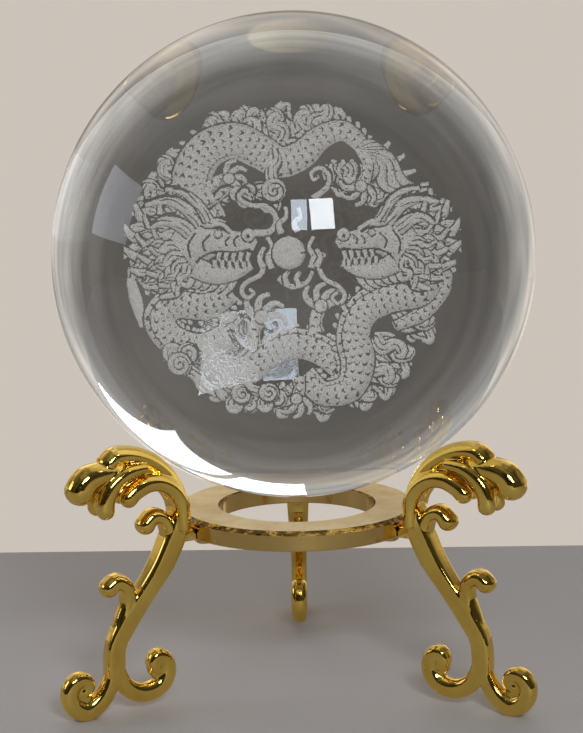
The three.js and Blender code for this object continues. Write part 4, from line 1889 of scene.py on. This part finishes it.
@dataclass
class Studio:
    """The floor, the lights and the camera."""

    target: Vector
    floor_back: float = 0.107
    floor_front: float = -0.9
    floor_reach: float = 0.9
    camera_distance: float = 0.4079
    camera_height: float = 0.1371
    camera_pitch: float = 9.64
    camera_yaw: float = -0.10
    camera_roll: float = -0.85
    camera_turn: float = 0.42
    lens: float = 97.14

    def build(self) -> None:
        """Sets the studio up."""
        self.camera()
        self.floor()
        self.room()
        for panel in (
                Panel("window_left_pane", 3.35, 23.6, 0.5, (0.058, 0.115), 12.0, (0.74, 0.85, 1.0)),
                Panel("window_right_pane", 13.9, 23.6, 0.5, (0.087, 0.115), 20.0, (0.90, 0.95, 1.0)),
                Panel("left_panel", -92.0, 16.0, 0.6, (0.26, 0.22), 2.0, (0.84, 0.86, 1.0))):
            self.hang(panel)

    def camera(self) -> None:
        """Sets the camera and the plain view of its colours."""
        data = bpy.data.cameras.new("camera")
        data.lens = self.lens
        data.clip_start, data.clip_end = 0.01, 20
        camera = bpy.data.objects.new("camera", data)
        bpy.context.collection.objects.link(camera)
        turn = Matrix.Rotation(math.radians(self.camera_turn), 4, "Z")
        place = turn @ Matrix.Translation((0, -self.camera_distance, self.camera_height))
        yaw = Matrix.Rotation(math.radians(-self.camera_yaw), 4, "Z")
        pitch = Matrix.Rotation(math.radians(90 - self.camera_pitch), 4, "X")
        roll = Matrix.Rotation(math.radians(self.camera_roll), 4, "Z")
        camera.matrix_world = place @ yaw @ pitch @ roll
        bpy.context.scene.camera = camera
        bpy.context.scene.view_settings.view_transform = "Standard"

    def floor(self) -> None:
        """Makes the pale table top, which ends a little behind the object."""
        floor = new_piece("floor", bpy.ops.mesh.primitive_plane_add, size=1.0,
                          location=(0, (self.floor_back + self.floor_front) / 2, 0))
        floor.scale = (2 * self.floor_reach, self.floor_back - self.floor_front, 1)
        settle(floor)
        material = bpy.data.materials.new("floor")
        material.use_nodes = True
        tree = Tree(material.node_tree)
        shader = material.node_tree.nodes["Principled BSDF"]
        grain = tree.noise(tree.object_place(), 22.0, 4)
        tree.link(tree.mix(grain, (0.60, 0.575, 0.57), (0.66, 0.635, 0.64)), shader.inputs["Base Color"])
        shader.inputs["Roughness"].default_value = 0.65
        floor.data.materials.append(material)

    def room(self) -> None:
        """Lights the room softly: a pale wall for the eye, and darker wall and room behind the glass, with a
        painted shadow of the ball on that wall.
        """
        world = bpy.data.worlds.new("room")
        world.use_nodes = True
        bpy.context.scene.world = world
        tree = Tree(world.node_tree)
        tree.tree.nodes.clear()
        direction = tree.add("TexCoord").outputs["Generated"]
        split = tree.add("SeparateXYZ", {"Vector": direction})
        ahead = tree.spread(split.outputs["Y"], -1.0, 1.0, 0.0, 1.0)
        rings = tree.add("Mapping", {"Vector": direction, "Scale": (1.3, 15.0, 1.3)}).outputs[0]
        streak = tree.spread(tree.noise(rings, 1.0, 4), 0.3, 0.7, 0.74, 1.26)
        # painted shadow: what the glass sees straight behind is dark, as the ball's own shadow on the wall,
        # and paler further round
        through = self.ramp(tree, ahead, (
            (0.0, (0.14, 0.132, 0.125)), (0.38, (0.16, 0.152, 0.144)), (0.46, (0.40, 0.39, 0.375)),
            (0.57, (0.60, 0.59, 0.575)), (0.69, (0.58, 0.565, 0.54)), (0.78, (0.36, 0.35, 0.33)),
            (0.855, (0.14, 0.132, 0.122)), (0.93, (0.095, 0.088, 0.079))))
        lifted = tree.math("MULTIPLY", streak, tree.spread(split.outputs["Z"], 0.1, 0.8, 1.0, 1.4))
        sided = tree.math("MULTIPLY", lifted, tree.spread(split.outputs["X"], -0.9, 0.9, 0.88, 1.18))
        glass = tree.add("Background", {"Color": through, "Strength": sided})
        patch = tree.spread(tree.noise(direction, 2.2, 2), 0.38, 0.62, 0.35, 1.65)
        around = self.ramp(tree, ahead, (
            (0.0, (0.035, 0.033, 0.03)), (0.4, (0.035, 0.033, 0.03)), (0.5, (0.06, 0.057, 0.052)),
            (0.64, (0.16, 0.15, 0.135)), (0.8, (0.48, 0.44, 0.39)), (0.95, (0.80, 0.72, 0.62))))
        rise = tree.spread(split.outputs["Z"], 0.5, 0.95, 0.0, 0.8)
        upper = tree.mix(rise, around, (0.24, 0.232, 0.22))
        room = tree.add("Background", {"Color": upper, "Strength": patch})
        wall = tree.add("Background", {"Color": (0.60, 0.545, 0.485, 1)})
        path = tree.add("LightPath")
        beyond = tree.add("MixShader", {0: path.outputs["Is Transmission Ray"], 1: room.outputs[0],
                                        2: glass.outputs[0]})
        both = tree.add("MixShader", {0: path.outputs["Is Camera Ray"], 1: beyond.outputs[0],
                                      2: wall.outputs[0]})
        tree.link(both.outputs[0], tree.add("OutputWorld").inputs["Surface"])

    @staticmethod
    def ramp(tree: Tree, share: Socket,
             steps: Sequence[tuple[float, Colour]]) -> Socket:
        """Adds a run of colours.

        Args:
            tree: The tree it goes in.
            share: Where on the run to read.
            steps: Each colour with its place on the run.

        Returns:
            The colour read.
        """
        node = tree.add("ValToRGB", {"Fac": share})
        stops = node.color_ramp.elements
        while len(stops) < len(steps):
            stops.new(0.5)
        for stop, (place, colour) in zip(stops, steps):
            stop.position = place
            stop.color = (*colour, 1)
        return node.outputs["Color"]

    def hang(self, panel: Panel) -> None:
        """Hangs one soft panel that faces the object and isn't seen by the camera.

        Args:
            panel: The panel.
        """
        data = bpy.data.lights.new(panel.name, "AREA")
        data.shape = "RECTANGLE"
        data.size, data.size_y = panel.size
        data.energy = panel.radiance * math.pi * panel.size[0] * panel.size[1]
        data.color = panel.colour
        light = bpy.data.objects.new(panel.name, data)
        bpy.context.collection.objects.link(light)
        bearing, rise = math.radians(panel.azimuth), math.radians(panel.elevation)
        level = math.cos(rise)
        towards = Vector((math.sin(bearing) * level, -math.cos(bearing) * level, math.sin(rise)))
        light.location = self.target + towards * panel.distance
        light.rotation_euler = (-towards).to_track_quat("-Z", "Y").to_euler()
        light.visible_camera = False


# ---------------------------------------------------------------- the whole object


def main() -> None:
    """Builds the object and its studio."""
    logging.basicConfig(level=logging.INFO, format="%(name)s %(message)s")
    ball_low, ball_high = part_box("crystal_ball")
    ring_low, ring_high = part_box("seat_ring")
    ball_centre = (ball_low + ball_high) / 2
    ball_radius = (ball_high.z - ball_low.z) / 2
    ring_radius = (ring_high.x - ring_low.x) / 2
    azimuths = {"rear": math.radians(90), "left": math.radians(210), "right": math.radians(330)}
    joint = RingSizes(ring_radius, ring_low.z, ring_high.z)
    effects = SurfaceEffects()
    legs_gold = GoldFinish(Slot.LEG, (0.90, 0.63, 0.14), (0.62, 0.34, 0.035), 0.045, 420.0, 0.02 * MM)
    screw_gold = GoldFinish(Slot.SCREW, (0.72, 0.50, 0.17), (0.45, 0.26, 0.06), 0.2, 900.0, 0.006 * MM)
    ring_gold = RingFinish(Slot.RING, (0.90, 0.73, 0.42), (0.66, 0.42, 0.10), (0.42, 0.23, 0.03))
    Studio(ball_centre).build()
    GlassBall(ball_centre, ball_radius).build(GlassFinish(), effects)
    EngravedRoundel(ball_centre, ball_radius - 1 * MM).build(EngravingFinish(), effects)
    SeatRing(joint, azimuths).build(ring_gold, effects)
    CastLegs(LegShape(ring_radius / MM, ring_high.z / MM), joint, azimuths).build(legs_gold, effects)
    TabScrews(joint, azimuths).build(screw_gold, effects)
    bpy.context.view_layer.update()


if __name__ == "__main__":
    main()
